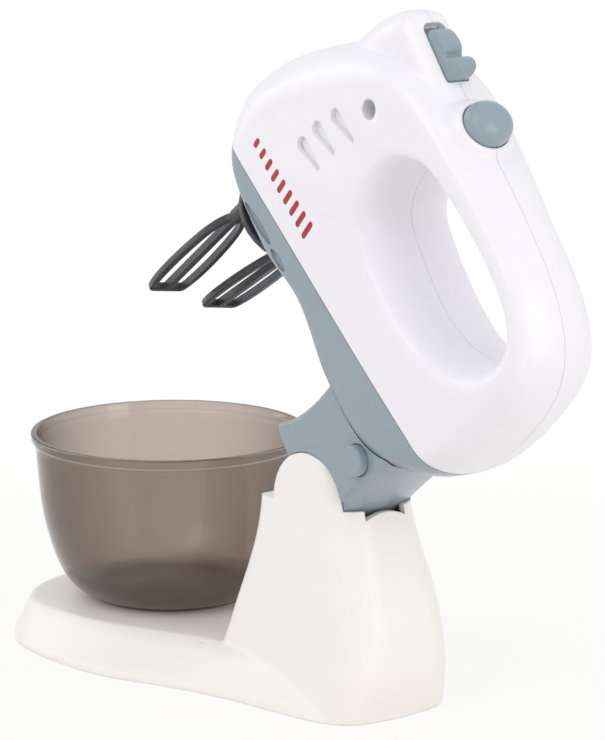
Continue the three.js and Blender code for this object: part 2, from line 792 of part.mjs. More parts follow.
function lowerHousing() {
  let tray = mixerOutside.subtract(mixerInside).intersect(belowSplit(-halfGap));
  const bearing = post(-turretX, 0, mixerBottom + mixerWall / 2, mixerBottom + 2 * mixerWall,
    turretFlange, 32);
  tray = tray.add(bearing.intersect(mixerCore));
  tray = tray.subtract(post(-turretX, 0, 0, mixerBottom + 3 * mixerWall, turretNeck + 1.5 * gap, 32));
  for (const [x, y] of platePosts()) {
    tray = tray.add(post(x, y, mixerBottom + mixerWall / 2, plateHeight - gap, platePostRadius, 10));
  }
  for (const [x, y] of lowerScrews) {
    const top = splitHeight(x) - 2 * gap;
    const tube = post(x, y, mixerBottom, top, bossRadius, 16).intersect(mixerCore);
    tray = tray.add(tube);
    tray = tray.subtract(post(x, y, 0, plateHeight + mixerHeight, screwRadius + gap, 12));
    tray = tray.subtract(post(x, y, 0, top - screwBite, screwHeadRadius + gap, 16));
  }
  return tray.subtract(catchPost(2 * gap, releaseTravel));
}

// Screws that hold the lower housing to the two halves, one to each
const lowerScrews = [[-0.30, -0.50], [0.02, 0.40]].map(([along, across]) => [
  along * mixerNose, across * mixerHalfWidth]);

// The boss over a lower screw, tied to the side wall by a web
function upperScrewBoss(side) {
  const [x, y] = lowerScrews[side < 0 ? 0 : 1];
  const low = splitHeight(x);
  const high = low + 2 * screwBite;
  const wall = side * mixerHalfWidth;
  const web = box(x - ribThickness / 2, x + ribThickness / 2, Math.min(y, wall), Math.max(y, wall),
    low, high);
  const boss = post(x, y, low, high, bossRadius - 1.2 * gap, 14).add(web).intersect(mixerCore);
  return boss.subtract(post(x, y, 0, high - ribThickness, screwRadius + halfGap, 10));
}

function platePosts() {
  const front = -turretX - 0.84 * plateReach;
  const rear = motorPlace() + 0.72 * plateHalf;
  const frontHalf = 0.62 * plateHalf;
  const rearHalf = 0.78 * plateHalf;
  return [[front, frontHalf], [front, -frontHalf], [rear, rearHalf], [rear, -rearHalf]];
}

function motorPlace() {
  return -turretX + toothModule * (pinionTeeth + driveTeeth) / 2;
}

// Cradle

function cradleProfile() {
  const arc = earRadius + gap;
  const lobe = -ledgeDrop + gap;
  const shape = new THREE.Shape();
  shape.moveTo(-0.96 * cradleFront, 1.2 * releaseHeight);
  shape.quadraticCurveTo(-0.80 * cradleFront, 0.5 * releaseHeight, -0.97 * cradleFront, 0.1 * releaseHeight);
  shape.quadraticCurveTo(-cradleFront, lobe, -0.86 * cradleFront, lobe);
  shape.lineTo(-arc, lobe);
  shape.lineTo(-0.8 * arc, -0.55 * cradleRear);
  shape.lineTo(cradleRear, -0.55 * cradleRear);
  shape.lineTo(cradleRear, 2 * releaseHeight);
  shape.lineTo(-cradleFront, 2 * releaseHeight);
  return shape;
}

// Plan of the cradle: straight sides, and a rear rounded to half an ellipse
function cradlePlan() {
  const start = 0.2 * cradleRear;
  const shape = new THREE.Shape();
  shape.moveTo(-2 * cradleFront, -cradleHalfWidth);
  shape.lineTo(start, -cradleHalfWidth);
  shape.absellipse(start, 0, cradleRear - start, cradleHalfWidth, -Math.PI / 2, Math.PI / 2, false);
  shape.lineTo(-2 * cradleFront, cradleHalfWidth);
  return uprightProfile(shape, -2 * releaseHeight, 3 * releaseHeight, 8);
}

// The space round the ears of the stand that the cradle leaves free on both sides
function earRelief() {
  const inner = columnTopHalf - earThickness - gap;
  const relief = (from, to) => pin(0, 0, from, to, earRadius + gap, 40)
    .add(box(-earRadius - gap, earRadius + gap, from, to, -2 * earRadius, 0));
  return relief(-2 * columnTopHalf, -inner).add(relief(inner, 2 * columnTopHalf));
}

function cradle() {
  const inner = columnTopHalf - earThickness - gap;
  const ceiling = mixerBottom + mixerHeight / 3;
  let body = acrossProfile(cradleProfile(), -cradleHalfWidth, cradleHalfWidth, cradleRounding, 2, 8);
  body = body.intersect(cradlePlan()).subtract(earRelief()).subtract(standSpace(inner));
  const pocketHalf = cradleHalfWidth - cradleWall;
  const upper = box(-0.8 * cradleFront + cradleWall, 0.45 * cradleRear, -pocketHalf, pocketHalf,
    earRadius + cradleWall, ceiling);
  const lower = box(-0.75 * tongueRadius, 0.25 * tongueRadius, -inner + cradleWall, inner - cradleWall,
    -tongueRadius / 4, ceiling);
  body = body.subtract(upper).subtract(lower);
  const rib = box(-0.8 * cradleFront, 0.6 * cradleRear, -ribThickness / 2, ribThickness / 2,
    earRadius + cradleWall / 2, ceiling);
  body = body.add(rib).subtract(bodyLoft(-gap));
  body = body.subtract(box(-2 * cradleFront, 2 * cradleRear, -2 * cradleHalfWidth, 2 * cradleHalfWidth,
    ceiling, 2 * ceiling));
  const reach = inner + trunnionLength;
  body = body.add(pin(0, 0, -reach, -inner + cradleWall / 2, trunnionRadius, 20));
  body = body.add(pin(0, 0, inner - cradleWall / 2, reach, trunnionRadius, 20));
  return body.subtract(pin(-releaseX, releaseHeight, -2 * cradleHalfWidth, -cradleHalfWidth + 2 * cradleWall,
    releaseRadius + gap, 28));
}

// The space that the column takes up under the cradle when the head is open, in the frame of the head
function standSpace(inner) {
  const reach = 2 * columnTopRear;
  const room = columnLoft(standWall + gap, () => inner);
  const block = box(0, reach, -reach, reach, 0, hingeHeight - ledgeDrop + rearLedgeRise + gap);
  const geometry = geometryOf(block.subtract(room).subtract(rearNotch(gap)));
  geometry.translate(-hingeX, 0, -hingeHeight);
  geometry.rotateY(-openAngle);
  return solid(geometry);
}

// The catch that stands up from the release button into the mixer
function catchPost(margin, travel) {
  const outside = -cradleHalfWidth + cradleWall + gap;
  const half = catchWidth / 2 + margin;
  return box(-releaseX - half, -releaseX + half, outside - margin,
    outside + releaseFlange + margin + travel, releaseHeight - catchWidth / 2,
    releaseHeight + catchHeight + margin);
}

function releaseButton() {
  const face = -cradleHalfWidth - releaseProud;
  const back = -cradleHalfWidth + cradleWall + gap;
  const round = releaseProud / 3;
  const flange = 1.1 * releaseRadius;
  const profile = [[0, 0], [releaseRadius - round, 0], [releaseRadius - 0.3 * round, 0.3 * round],
    [releaseRadius, round], [releaseRadius, back - face], [flange, back - face],
    [flange, back - face + releaseFlange], [0, back - face + releaseFlange]];
  const shape = new THREE.LatheGeometry(profile.map(([r, h]) => new THREE.Vector2(r, h)), 28);
  shape.translate(-releaseX, face, releaseHeight);
  const above = box(-mixerNose, mixerNose, -cradleHalfWidth + cradleWall / 2, mixerNose,
    releaseHeight, 2 * releaseHeight);
  return solid(shape).subtract(above).add(catchPost(0, 0));
}

// A coil spring with its axis along Z from 0 to height
function coil(height, radius, wire, turns) {
  const steps = 10 * turns;
  const points = [];
  for (let i = 0; i <= steps; i += 1) {
    const angle = (i / steps) * turns * 2 * Math.PI;
    const rise = wire + (i / steps) * (height - 2 * wire);
    points.push(new THREE.Vector3(radius * Math.cos(angle), radius * Math.sin(angle), rise));
  }
  const section = new THREE.Shape();
  const sides = 5;
  for (let i = 0; i < sides; i += 1) {
    const angle = (i / sides) * 2 * Math.PI;
    const corner = [wire * Math.cos(angle), wire * Math.sin(angle)];
    if (i === 0) section.moveTo(...corner);
    else section.lineTo(...corner);
  }
  const path = new THREE.CatmullRomCurve3(points);
  return solid(new THREE.ExtrudeGeometry(section, { steps, extrudePath: path, bevelEnabled: false }));
}

// Turret, beaters and drive

function turret() {
  const rim = turretRim;
  const low = rim - turretThickness;
  const flange = mixerBottom + 2 * mixerWall + gap;
  const hub = plateHeight - gearWidth - 3 * gap;
  const profile = [
    [0, low - 0.4 * turretThickness], [0.75 * turretRadius, low - 0.13 * turretThickness],
    [0.96 * turretRadius, low], [turretRadius, low + 0.27 * turretThickness],
    [turretRadius, rim - 0.17 * turretThickness], [0.98 * turretRadius, rim], [turretNeck, rim],
    [turretNeck, flange], [turretFlange, flange], [turretFlange, flange + mixerWall],
    [2.5 * shaftRadius, flange + mixerWall], [2.5 * shaftRadius, hub], [shaftRadius, hub],
    [shaftRadius, plateHeight + 2 * plateThickness], [0, plateHeight + 2 * plateThickness],
  ];
  let body = turned(profile, 28, -turretX, 0);
  for (const side of [1, -1]) {
    const geometry = geometryOf(post(0, 0, -overrun, socketDepth, stemRadius + gap, 12));
    geometry.applyMatrix4(beaterFrame(side).matrix);
    body = body.subtract(solid(geometry));
  }
  return body;
}

// The frame of a beater: its origin where the beater enters the turret. The rear one leans a little.
function beaterFrame(side) {
  const frame = new THREE.Group();
  frame.position.set(...beaterPlace(side), turretRim - turretThickness);
  frame.rotation.set(0, side > 0 ? beaterLean : 0, beaterTurn, 'YXZ');
  frame.updateMatrix();
  return frame;
}

function beaterPlace(side) {
  const reach = side * beaterReach;
  return [-turretX + reach * Math.cos(beaterBearing), reach * Math.sin(beaterBearing)];
}

// A beater about its own axis, with its origin where it enters the turret
function beater() {
  const tip = loopLength + loopDrop;
  const half = beaterDepth / 2;
  const outer = acrossProfile(beaterLoop(0, tip), -half, half, 0, 0, 6);
  const inner = acrossProfile(beaterLoop(beaterBar, tip), -beaterDepth, beaterDepth, 0, 0, 6);
  const rod = box(-beaterBar / 2, beaterBar / 2, -half, half, beaterBar / 2 - tip, loopLength - tip);
  const stem = post(0, 0, loopLength - tip - 2 * beaterBar, socketDepth - gap, stemRadius, 12);
  return outer.subtract(inner).add(rod).add(stem);
}

// Outline of the loop: a flat tip, bowed sides and a top that closes on the stem
function beaterLoop(inset, tip) {
  const half = loopHalfWidth - inset;
  const foot = inset - tip;
  const top = loopLength - tip - 1.2 * inset;
  const tipHalf = 0.80 * loopHalfWidth - inset / 2;
  const neck = 0.24 * half;
  const at = (share) => THREE.MathUtils.lerp(foot, top, share);
  const shape = new THREE.Shape();
  shape.moveTo(-tipHalf, foot);
  shape.lineTo(tipHalf, foot);
  shape.bezierCurveTo(1.1 * half, at(0.12), 1.08 * half, at(0.45), 0.86 * half, at(0.72));
  shape.quadraticCurveTo(0.66 * half, at(0.93), neck, top);
  shape.lineTo(-neck, top);
  shape.quadraticCurveTo(-0.66 * half, at(0.93), -0.86 * half, at(0.72));
  shape.bezierCurveTo(-1.08 * half, at(0.45), -1.1 * half, at(0.12), -tipHalf, foot);
  return shape;
}

// A spur gear about the origin with straight-sided teeth
function gear(teeth, width, bore) {
  const pitch = toothModule * teeth / 2;
  const tip = pitch + 0.85 * toothModule;
  const root = pitch - 1.2 * toothModule;
  const step = 2 * Math.PI / teeth;
  const shape = new THREE.Shape();
  for (let i = 0; i < teeth; i += 1) {
    const at = (share, radius) => {
      const angle = (i + share) * step;
      return [radius * Math.cos(angle), radius * Math.sin(angle)];
    };
    const wide = 0.25 * toothShrinkShare;
    const corners = [
      at(-1.15 * wide, root), at(-0.5 * wide, tip), at(0.5 * wide, tip), at(1.15 * wide, root),
    ];
    corners.forEach((corner, k) => {
      if (i === 0 && k === 0) shape.moveTo(...corner);
      else shape.lineTo(...corner);
    });
  }
  return uprightProfile(shape, 0, width).subtract(post(0, 0, -overrun, width + overrun, bore, 16));
}

function motorCan(margin) {
  const x = motorPlace();
  const low = plateHeight + plateThickness + halfGap - margin;
  const high = low + motorLength + 2 * margin;
  const flat = motorFlat + margin;
  const sides = box(x - 2 * motorRadius, x + 2 * motorRadius, -flat, flat, 0, 2 * high);
  return post(x, 0, low, high, motorRadius + margin, 28).intersect(sides);
}

function motor() {
  const x = motorPlace();
  const low = plateHeight + plateThickness + halfGap;
  const nose = post(x, 0, plateHeight - halfGap, low + overrun, 3 * motorShaft, 16);
  const shaft = post(x, 0, plateHeight - gearWidth - 2 * gap, low, motorShaft, 10);
  const rear = post(x, 0, low + motorLength - overrun, low + motorLength + overrun, 4 * motorShaft, 16);
  return motorCan(0).add(nose).add(shaft).add(rear);
}

function gearPlate() {
  const front = -turretX - plateReach;
  const rear = motorPlace() + plateHalf;
  const round = plateHalf / 2;
  const shape = new THREE.Shape();
  shape.moveTo(front, -plateHalf + round);
  shape.absarc(front + round, -plateHalf + round, round, Math.PI, 1.5 * Math.PI, false);
  shape.absarc(rear - round, -plateHalf + round, round, 1.5 * Math.PI, 2 * Math.PI, false);
  shape.absarc(rear - round, plateHalf - round, round, 0, 0.5 * Math.PI, false);
  shape.absarc(front + round, plateHalf - round, round, 0.5 * Math.PI, Math.PI, false);
  let plate = uprightProfile(shape, plateHeight, plateHeight + plateThickness, 4);
  plate = plate.subtract(post(-turretX, 0, 0, 2 * plateHeight, shaftRadius + gap, 20));
  plate = plate.subtract(post(motorPlace(), 0, 0, 2 * plateHeight, 3 * motorShaft + gap, 20));
  return plate;
}

// Batteries

// A group whose X runs along the split line, with its origin in the middle of the cells
function cellFrame() {
  const frame = new THREE.Group();
  const rise = Math.atan(splitRiseShare);
  const z = splitHeight(-cellX) + (cellOffset + cellPitch / 2) / Math.cos(rise);
  frame.position.set(-cellX, cellY(), z);
  frame.rotation.y = -rise;
  return frame;
}

function cellY() {
  return mixerHalfWidth - mixerWall - trayWall - cellRadius - cellInset;
}

function batteryTray() {
  const half = cellPitch / 2 + cellRadius + gap + trayWall;
  const length = cellLength / 2 + 4 * contactThickness + trayWall;
  const back = -cellRadius - gap - trayWall;
  let tray = box(-length, length, back, cellRadius, -half, half);
  const room = half - trayWall;
  tray = tray.subtract(box(-length + trayWall, length - trayWall, back + trayWall, cellRadius + overrun,
    -room, room));
  const lug = pin(-doorScrewAlong, 0, back, cellRadius - overrun, bossRadius - 1, 16)
    .add(box(-doorScrewAlong, -length + trayWall / 2, back, cellRadius - overrun, -trayWall, trayWall));
  return tray.add(lug)
    .subtract(pin(-doorScrewAlong, 0, back + trayWall, 2 * cellRadius, screwRadius + halfGap, 12));
}

function battery() {
  const nub = 0.35 * cellRadius;
  const body = new THREE.CylinderGeometry(cellRadius, cellRadius, cellLength - nub, 20);
  body.rotateZ(Math.PI / 2);
  body.translate(-nub / 2, 0, 0);
  const tip = new THREE.CylinderGeometry(nub, nub, nub + overrun, 12);
  tip.rotateZ(Math.PI / 2);
  tip.translate(cellLength / 2 - (nub + overrun) / 2, 0, 0);
  return solid(body).add(solid(tip));
}

function cellContact(side) {
  const inside = side * (cellLength / 2 + 4 * contactThickness);
  const outside = inside - side * contactThickness;
  const half = cellPitch / 2 + cellRadius;
  return box(Math.min(inside, outside), Math.max(inside, outside), -cellRadius, cellRadius - gap,
    -half, half);
}

function doorShape(margin) {
  const half = cellPitch / 2 + cellRadius + doorMargin + margin;
  const front = -doorScrewAlong - screwHeadRadius - doorMargin - margin;
  const rear = cellLength / 2 + doorMargin + margin;
  const round = 2 * doorMargin;
  const shape = new THREE.Shape();
  shape.moveTo(front, -half);
  shape.lineTo(rear, -half);
  shape.lineTo(rear, half);
  shape.lineTo(front + round, half);
  shape.quadraticCurveTo(front, half, front, half - round);
  return shape;
}

// The block that cuts the battery door out of the far side, laid along the cells
function doorCut(margin) {
  const frame = cellFrame();
  const geometry = geometryOf(acrossProfile(doorShape(margin), 0, 2 * mixerHalfWidth, 0, 0, 5));
  frame.updateMatrix();
  geometry.applyMatrix4(frame.matrix);
  return solid(geometry);
}

function doorScrewHole(margin, from, to) {
  const frame = cellFrame();
  frame.updateMatrix();
  const geometry = geometryOf(pin(-doorScrewAlong, 0, from, to, margin, 16));
  geometry.applyMatrix4(frame.matrix);
  return solid(geometry);
}

function batteryDoor() {
  const door = mixerOutside.subtract(mixerInside).intersect(doorCut(-gap));
  return door.subtract(doorScrewHole(screwRadius + gap, 0, 2 * mixerHalfWidth));
}

// Assembly

const stand = new THREE.Group();
stand.add(mesh('stand_shell', standShell(), warmWhite));
stand.add(mesh('base_cover', baseCover(), warmWhite));
coverBosses.forEach(([x, y], i) => {
  const part = mesh(`base_screw_${i + 1}`, screw(platformHeight / 3), steel);
  part.position.set(x, y, halfGap);
  stand.add(part);
});
stand.add(mesh('bowl', bowl(), smoke));

const head = new THREE.Group();
head.position.set(hingeX, 0, hingeHeight);
head.rotation.y = openAngle;
head.add(mesh('cradle', cradle(), blueGrey));
head.add(mesh('release_button', releaseButton(), blueGrey));
head.add(mesh('housing_left', housingHalf(-1), white));
head.add(mesh('housing_right', housingHalf(1), white));
head.add(mesh('lower_housing', lowerHousing(), blueGrey));
head.add(mesh('speed_slider', speedSlider(), blueGrey));
head.add(mesh('boost_button', boostButton(), blueGrey));
head.add(mesh('turret', turret(), darkGrey));
[1, -1].forEach((side, i) => {
  const frame = beaterFrame(side);
  frame.add(mesh(`beater_${i + 1}`, beater(), darkGrey));
  head.add(frame);
});
const driveGear = mesh('drive_gear', gear(driveTeeth, gearWidth, shaftRadius + halfGap), warmWhite);
driveGear.position.set(-turretX, 0, plateHeight - gearWidth - 2 * gap);
const pinion = mesh('motor_pinion', gear(pinionTeeth, gearWidth, motorShaft + halfGap), warmWhite);
pinion.position.set(motorPlace(), 0, plateHeight - gearWidth - 2 * gap);
pinion.rotation.z = Math.PI / pinionTeeth;
head.add(driveGear, pinion);
head.add(mesh('motor', motor(), steel));
head.add(mesh('gear_plate', gearPlate(), warmWhite));

const cells = cellFrame();
cells.add(mesh('battery_tray', batteryTray(), warmWhite));
[-1, 1].forEach((side, i) => {
  const cell = mesh(`battery_${i + 1}`, battery(), steel);
  cell.position.z = side * cellPitch / 2;
  if (side > 0) cell.rotation.z = Math.PI;
  cells.add(cell);
  cells.add(mesh(`cell_contact_${i + 1}`, cellContact(side), steel));
});
head.add(cells);
head.add(mesh('battery_door', batteryDoor(), white));

const springStart = -cradleHalfWidth + cradleWall + releaseFlange + 2 * gap;
const springLength = -springStart - ribThickness / 2 - gap;
const releaseSpring = mesh('release_spring', coil(springLength, springRadius, springWire, 4), steel);
releaseSpring.position.set(-releaseX, springStart, releaseHeight - springRadius / 2);
releaseSpring.rotation.x = -Math.PI / 2;
head.add(releaseSpring);

const boostSpring = mesh('boost_spring', coil(2.2 * boostTravel, springRadius, springWire, 3), steel);
boostSpring.position.set(-boostX, 0, boostSeat - 5.95 * mixerWall);
head.add(boostSpring);

lowerScrews.forEach(([x, y], i) => {
  const part = mesh(`lower_screw_${i + 1}`, screw(2 * screwBite - screwHeadHeight), steel);
  part.position.set(x, y, splitHeight(x) - screwBite - screwHeadHeight - 3 * gap);
  head.add(part);
});
const housingScrew = mesh('housing_screw', screw(0.85 * mixerHalfWidth), steel);
const screwStart = -housingScrewSeat - screwHeadHeight - gap;
housingScrew.position.set(-housingScrewX, screwStart, housingScrewHeight);
housingScrew.rotation.x = -Math.PI / 2;
head.add(housingScrew);
const doorScrew = mesh('door_screw', screw(screwBite + overrun), steel);
doorScrew.position.set(-doorScrewAlong, mixerHalfWidth - cellY() + screwHeadHeight + gap, 0);
doorScrew.rotation.x = Math.PI / 2;
cells.add(doorScrew);

const mixer = new THREE.Group();
mixer.add(stand, head);
export default mixer;
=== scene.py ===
import json
from math import asin, atan, atan2, cos, degrees, dist, hypot, pi, radians, sin
import bpy
import bmesh
from mathutils import Matrix, Vector


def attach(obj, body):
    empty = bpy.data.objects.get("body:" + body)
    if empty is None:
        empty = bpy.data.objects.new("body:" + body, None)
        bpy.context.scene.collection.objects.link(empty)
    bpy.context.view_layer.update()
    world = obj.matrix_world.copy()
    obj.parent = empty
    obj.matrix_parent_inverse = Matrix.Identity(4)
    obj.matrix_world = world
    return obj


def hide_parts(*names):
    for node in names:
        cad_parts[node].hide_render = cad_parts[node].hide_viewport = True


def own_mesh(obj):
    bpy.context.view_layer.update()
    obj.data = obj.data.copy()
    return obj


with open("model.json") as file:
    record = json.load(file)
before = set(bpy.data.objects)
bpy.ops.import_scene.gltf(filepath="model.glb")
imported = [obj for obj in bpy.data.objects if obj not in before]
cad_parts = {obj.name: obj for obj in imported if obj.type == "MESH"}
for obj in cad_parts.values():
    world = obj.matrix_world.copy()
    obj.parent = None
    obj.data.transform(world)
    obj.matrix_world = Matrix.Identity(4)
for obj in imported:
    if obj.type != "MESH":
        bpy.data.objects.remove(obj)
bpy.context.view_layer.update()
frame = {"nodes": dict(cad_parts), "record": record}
print("frame loaded:", len(frame["nodes"]), "nodes")


def show(name, data):
    made = bpy.data.objects.new(name, data)
    bpy.context.scene.collection.objects.link(made)
    return made


view = {
    "place": (1.06639, -0.748581, 0.384329),
    "right": (0.60876, 0.79335, 0),
    "up": (-0.16292, 0.12501, 0.97869),
    "back": (0.77645, -0.59579, 0.20535),
    "lens": 190.41,  # for a sensor 36 mm wide and a picture 605 pixels wide
    "sensor": 36,
    "near": 0.05,
}


def makeCamera():
    data = bpy.data.cameras.new("camera")
    data.sensor_fit = "HORIZONTAL"
    data.sensor_width = view["sensor"]
    data.lens = view["lens"]
    data.clip_start = view["near"]
    camera = show("camera", data)
    columns = [view[key] for key in ("right", "up", "back", "place")]
    rows = [[column[i] for column in columns] for i in range(3)]
    camera.matrix_world = Matrix(rows + [[0, 0, 0, 1]])
    bpy.context.scene.camera = camera


makeCamera()

# shapes are made in millimetres, standing or in the frame of the closed head, and scaled when placed
mm = 0.001
gap = 0.3
hinge = (120, 0, 80)
openAngle = radians(54)
asStand = Matrix.Scale(mm, 4)
asHead = asStand @ Matrix.Translation(hinge) @ Matrix.Rotation(openAngle, 4, "Y")


def solid(name, points, faces):
    mesh = bpy.data.meshes.new(name)
    mesh.from_pydata([tuple(p) for p in points], [], faces)
    work = bmesh.new()
    work.from_mesh(mesh)
    bmesh.ops.recalc_face_normals(work, faces=work.faces)
    work.to_mesh(mesh)
    work.free()
    return show(name, mesh)


def shapedMesh(piece):
    bpy.context.view_layer.update()
    shaped = piece.evaluated_get(bpy.context.evaluated_depsgraph_get())
    return bpy.data.meshes.new_from_object(shaped)


def settle(piece):  # applies the modifiers
    mesh = shapedMesh(piece)
    piece.modifiers.clear()
    old = piece.data
    piece.data = mesh
    bpy.data.meshes.remove(old)
    return piece


def drop(piece):
    bpy.data.objects.remove(piece, do_unlink=True)


def combine(piece, other, operation, keep=False):
    step = piece.modifiers.new("combine", "BOOLEAN")
    step.operation = operation
    step.solver = "MANIFOLD"
    step.object = other
    settle(piece)
    if not keep:
        drop(other)
    return piece


def cut(piece, *others):
    for other in others:
        combine(piece, other, "DIFFERENCE")
    return piece


def fuse(piece, *others):
    for other in others:
        combine(piece, other, "UNION")
    return piece


def common(piece, other, keep=False):
    return combine(piece, other, "INTERSECT", keep)


def copyOf(piece, name):
    return show(name, piece.data.copy())


def moved(piece, matrix):
    piece.data.transform(matrix)
    return piece


def soften(piece, voxel, rounds):  # even faces first, then the edges are relaxed
    even = piece.modifiers.new("even", "REMESH")
    even.mode = "VOXEL"
    even.voxel_size = voxel
    relax = piece.modifiers.new("relax", "SMOOTH")
    relax.factor = 0.5
    relax.iterations = rounds
    return settle(piece)


def place(piece, matrix, sharp):
    moved(piece, matrix).data.shade_smooth()
    piece.data.set_sharp_from_angle(angle=radians(sharp))
    weigh = piece.modifiers.new("weigh", "WEIGHTED_NORMAL")
    weigh.keep_sharp = True
    return settle(piece)


def block(x0, x1, y0, y1, z0, z1):
    points = [(x, y, z) for x in (x0, x1) for y in (y0, y1) for z in (z0, z1)]
    faces = [(0, 1, 3, 2), (4, 6, 7, 5), (0, 4, 5, 1), (2, 3, 7, 6), (0, 2, 6, 4), (1, 5, 7, 3)]
    return solid("block", points, faces)


order = {"X": lambda a, b, c: (c, a, b), "Y": lambda a, b, c: (a, c, b), "Z": lambda a, b, c: (a, b, c)}


def prism(outline, low, high, axis):  # an outline of pairs, drawn out along an axis
    put = order[axis]
    count = len(outline)
    points = [put(a, b, low) for a, b in outline] + [put(a, b, high) for a, b in outline]
    faces = [tuple(range(count)), tuple(range(2 * count - 1, count - 1, -1))]
    faces += [(i, (i + 1) % count, count + (i + 1) % count, count + i) for i in range(count)]
    return solid("prism", points, faces)


def disc(a, b, low, high, radius, axis, sides=72):
    turn = [2 * pi * i / sides for i in range(sides)]
    outline = [(a + radius * cos(t), b + radius * sin(t)) for t in turn]
    return prism(outline, low, high, axis)


# the profile is closed: pairs of radius and height that start and end on the axis
def lathe(profile, sides=96, stretch=(1, 1), centre=(0, 0)):
    points = [(centre[0], centre[1], profile[0][1]), (centre[0], centre[1], profile[-1][1])]
    rows = profile[1:-1]
    for radius, height in rows:
        for i in range(sides):
            t = 2 * pi * i / sides
            x = radius * cos(t) * stretch[0] + centre[0]
            points.append((x, radius * sin(t) * stretch[1] + centre[1], height))
    faces = []
    last = 2 + (len(rows) - 1) * sides
    for i in range(sides):
        j = (i + 1) % sides
        faces.append((0, 2 + i, 2 + j))
        faces.append((1, last + j, last + i))
        for k in range(len(rows) - 1):
            a, b = 2 + k * sides, 2 + (k + 1) * sides
            faces.append((a + i, b + i, b + j, a + j))
    return solid("turned", points, faces)


def ball(radius, last, step, sides):
    turn = [radians(a) for a in range(-last, last + 1, step)]
    side = [(radius * cos(t), radius * sin(t)) for t in turn]
    return lathe([(0, -radius)] + side + [(0, radius)], sides)


def slab(outline, y0, y1, rounding):  # an outline in X and Z, drawn out across, with rounded rims
    data = bpy.data.curves.new("slab", "CURVE")
    data.dimensions = "2D"
    data.fill_mode = "BOTH"
    spline = data.splines.new("POLY")
    spline.points.add(len(outline) - 1)
    for point, (a, b) in zip(spline.points, outline):
        point.co = (a, b, 0, 1)
    spline.use_cyclic_u = True
    data.extrude = (y1 - y0) / 2 - rounding
    data.bevel_depth = rounding
    data.bevel_resolution = 4
    data.offset = -rounding
    lump = show("slab", data)
    mesh = shapedMesh(lump)
    drop(lump)
    work = bmesh.new()
    work.from_mesh(mesh)
    bmesh.ops.remove_doubles(work, verts=work.verts, dist=0.001)
    for vert in work.verts:
        x, y, z = vert.co
        vert.co = (x, (y0 + y1) / 2 - z, y)
    bmesh.ops.recalc_face_normals(work, faces=work.faces)
    work.to_mesh(mesh)
    work.free()
    return show("slab", mesh)


def through(rows, t, closed=True):  # a smooth curve through rows of numbers
    count = len(rows)
    spot = t * (count if closed else count - 1)
    k = min(int(spot), count - 1 if closed else count - 2)
    w = spot - k

    def pick(i):
        return rows[i % count] if closed else rows[min(max(i, 0), count - 1)]

    made = []
    for p0, p1, p2, p3 in zip(pick(k - 1), pick(k), pick(k + 1), pick(k + 2)):
        t0, t1 = 0.5 * (p2 - p0), 0.5 * (p3 - p1)
        made.append(p1 + t0 * w + (-3 * p1 + 3 * p2 - 2 * t0 - t1) * w * w
                    + (2 * p1 - 2 * p2 + t0 + t1) * w ** 3)
    return made


def between(a, b, share):
    return a + (b - a) * share


def bend(points, steps):  # a curve pulled by its middle points, without its first point
    made = []
    for i in range(1, steps + 1):
        row = [tuple(p) for p in points]
        while len(row) > 1:
            row = [tuple(between(a, b, i / steps) for a, b in zip(p, q)) for p, q in zip(row, row[1:])]
        made.append(row[0])
    return made


def arc(a, b, radius, start, end, steps, second=None):
    turn = [radians(start + (end - start) * i / steps) for i in range(steps + 1)]
    return [(a + radius * cos(t), b + (second or radius) * sin(t)) for t in turn]


def quarter(steps):
    return [pi / 2 * i / steps for i in range(steps + 1)]


def bothSides(near):  # closes half an outline that starts and ends on the middle line
    return near + [(a, -b) for a, b in reversed(near[1:-1])]


def net(rings, count, closed=False):  # the faces between rings of count points each
    return [(i * count + j, i * count + (j + 1) % count,
             (i + 1) % rings * count + (j + 1) % count, (i + 1) % rings * count + j)
            for i in range(rings if closed else rings - 1) for j in range(count)]


def mirroredLoft(rings):  # each ring mirrors across Y; strips straight across close both ends
    count = len(rings[0])
    faces = net(len(rings), count)
    for start in (0, (len(rings) - 1) * count):
        for j in range(count // 2):
            quad = [start + j, start + j + 1, start + count - j - 1, start + (count - j) % count]
            faces.append(tuple(dict.fromkeys(quad)))
    return solid("loft", [p for ring in rings for p in ring], faces)


def sums(operation):  # an operator and its reflected form
    return (lambda self, other: self.sum(operation, self, other),
            lambda self, other: self.sum(operation, other, self))


# one socket on a sheet of nodes, so that sums are written as sums
class Strand:
    def __init__(self, sheet, socket):
        self.sheet = sheet
        self.socket = socket

    def sum(self, operation, *parts):
        return self.sheet.node("ShaderNodeMath", {"operation": operation}, dict(enumerate(parts)))

    __add__, __radd__ = sums("ADD")
    __sub__, __rsub__ = sums("SUBTRACT")
    __mul__, __rmul__ = sums("MULTIPLY")
    __truediv__, __rtruediv__ = sums("DIVIDE")
    __pow__, __rpow__ = sums("POWER")

    def __abs__(self):
        return self.sum("ABSOLUTE", self)

    def floor(self):
        return self.sum("FLOOR", self)

    def most(self, other):
        return self.sum("MAXIMUM", self, other)

    def step(self, edge, soft, below, above):
        return self.sheet.node("ShaderNodeMapRange", {"interpolation_type": "SMOOTHSTEP"},
                               {0: self, 1: edge - soft, 2: edge + soft, 3: below, 4: above})

    def under(self, edge, soft):
        return self.step(edge, soft, 1, 0)

    def over(self, edge, soft):
        return self.step(edge, soft, 0, 1)


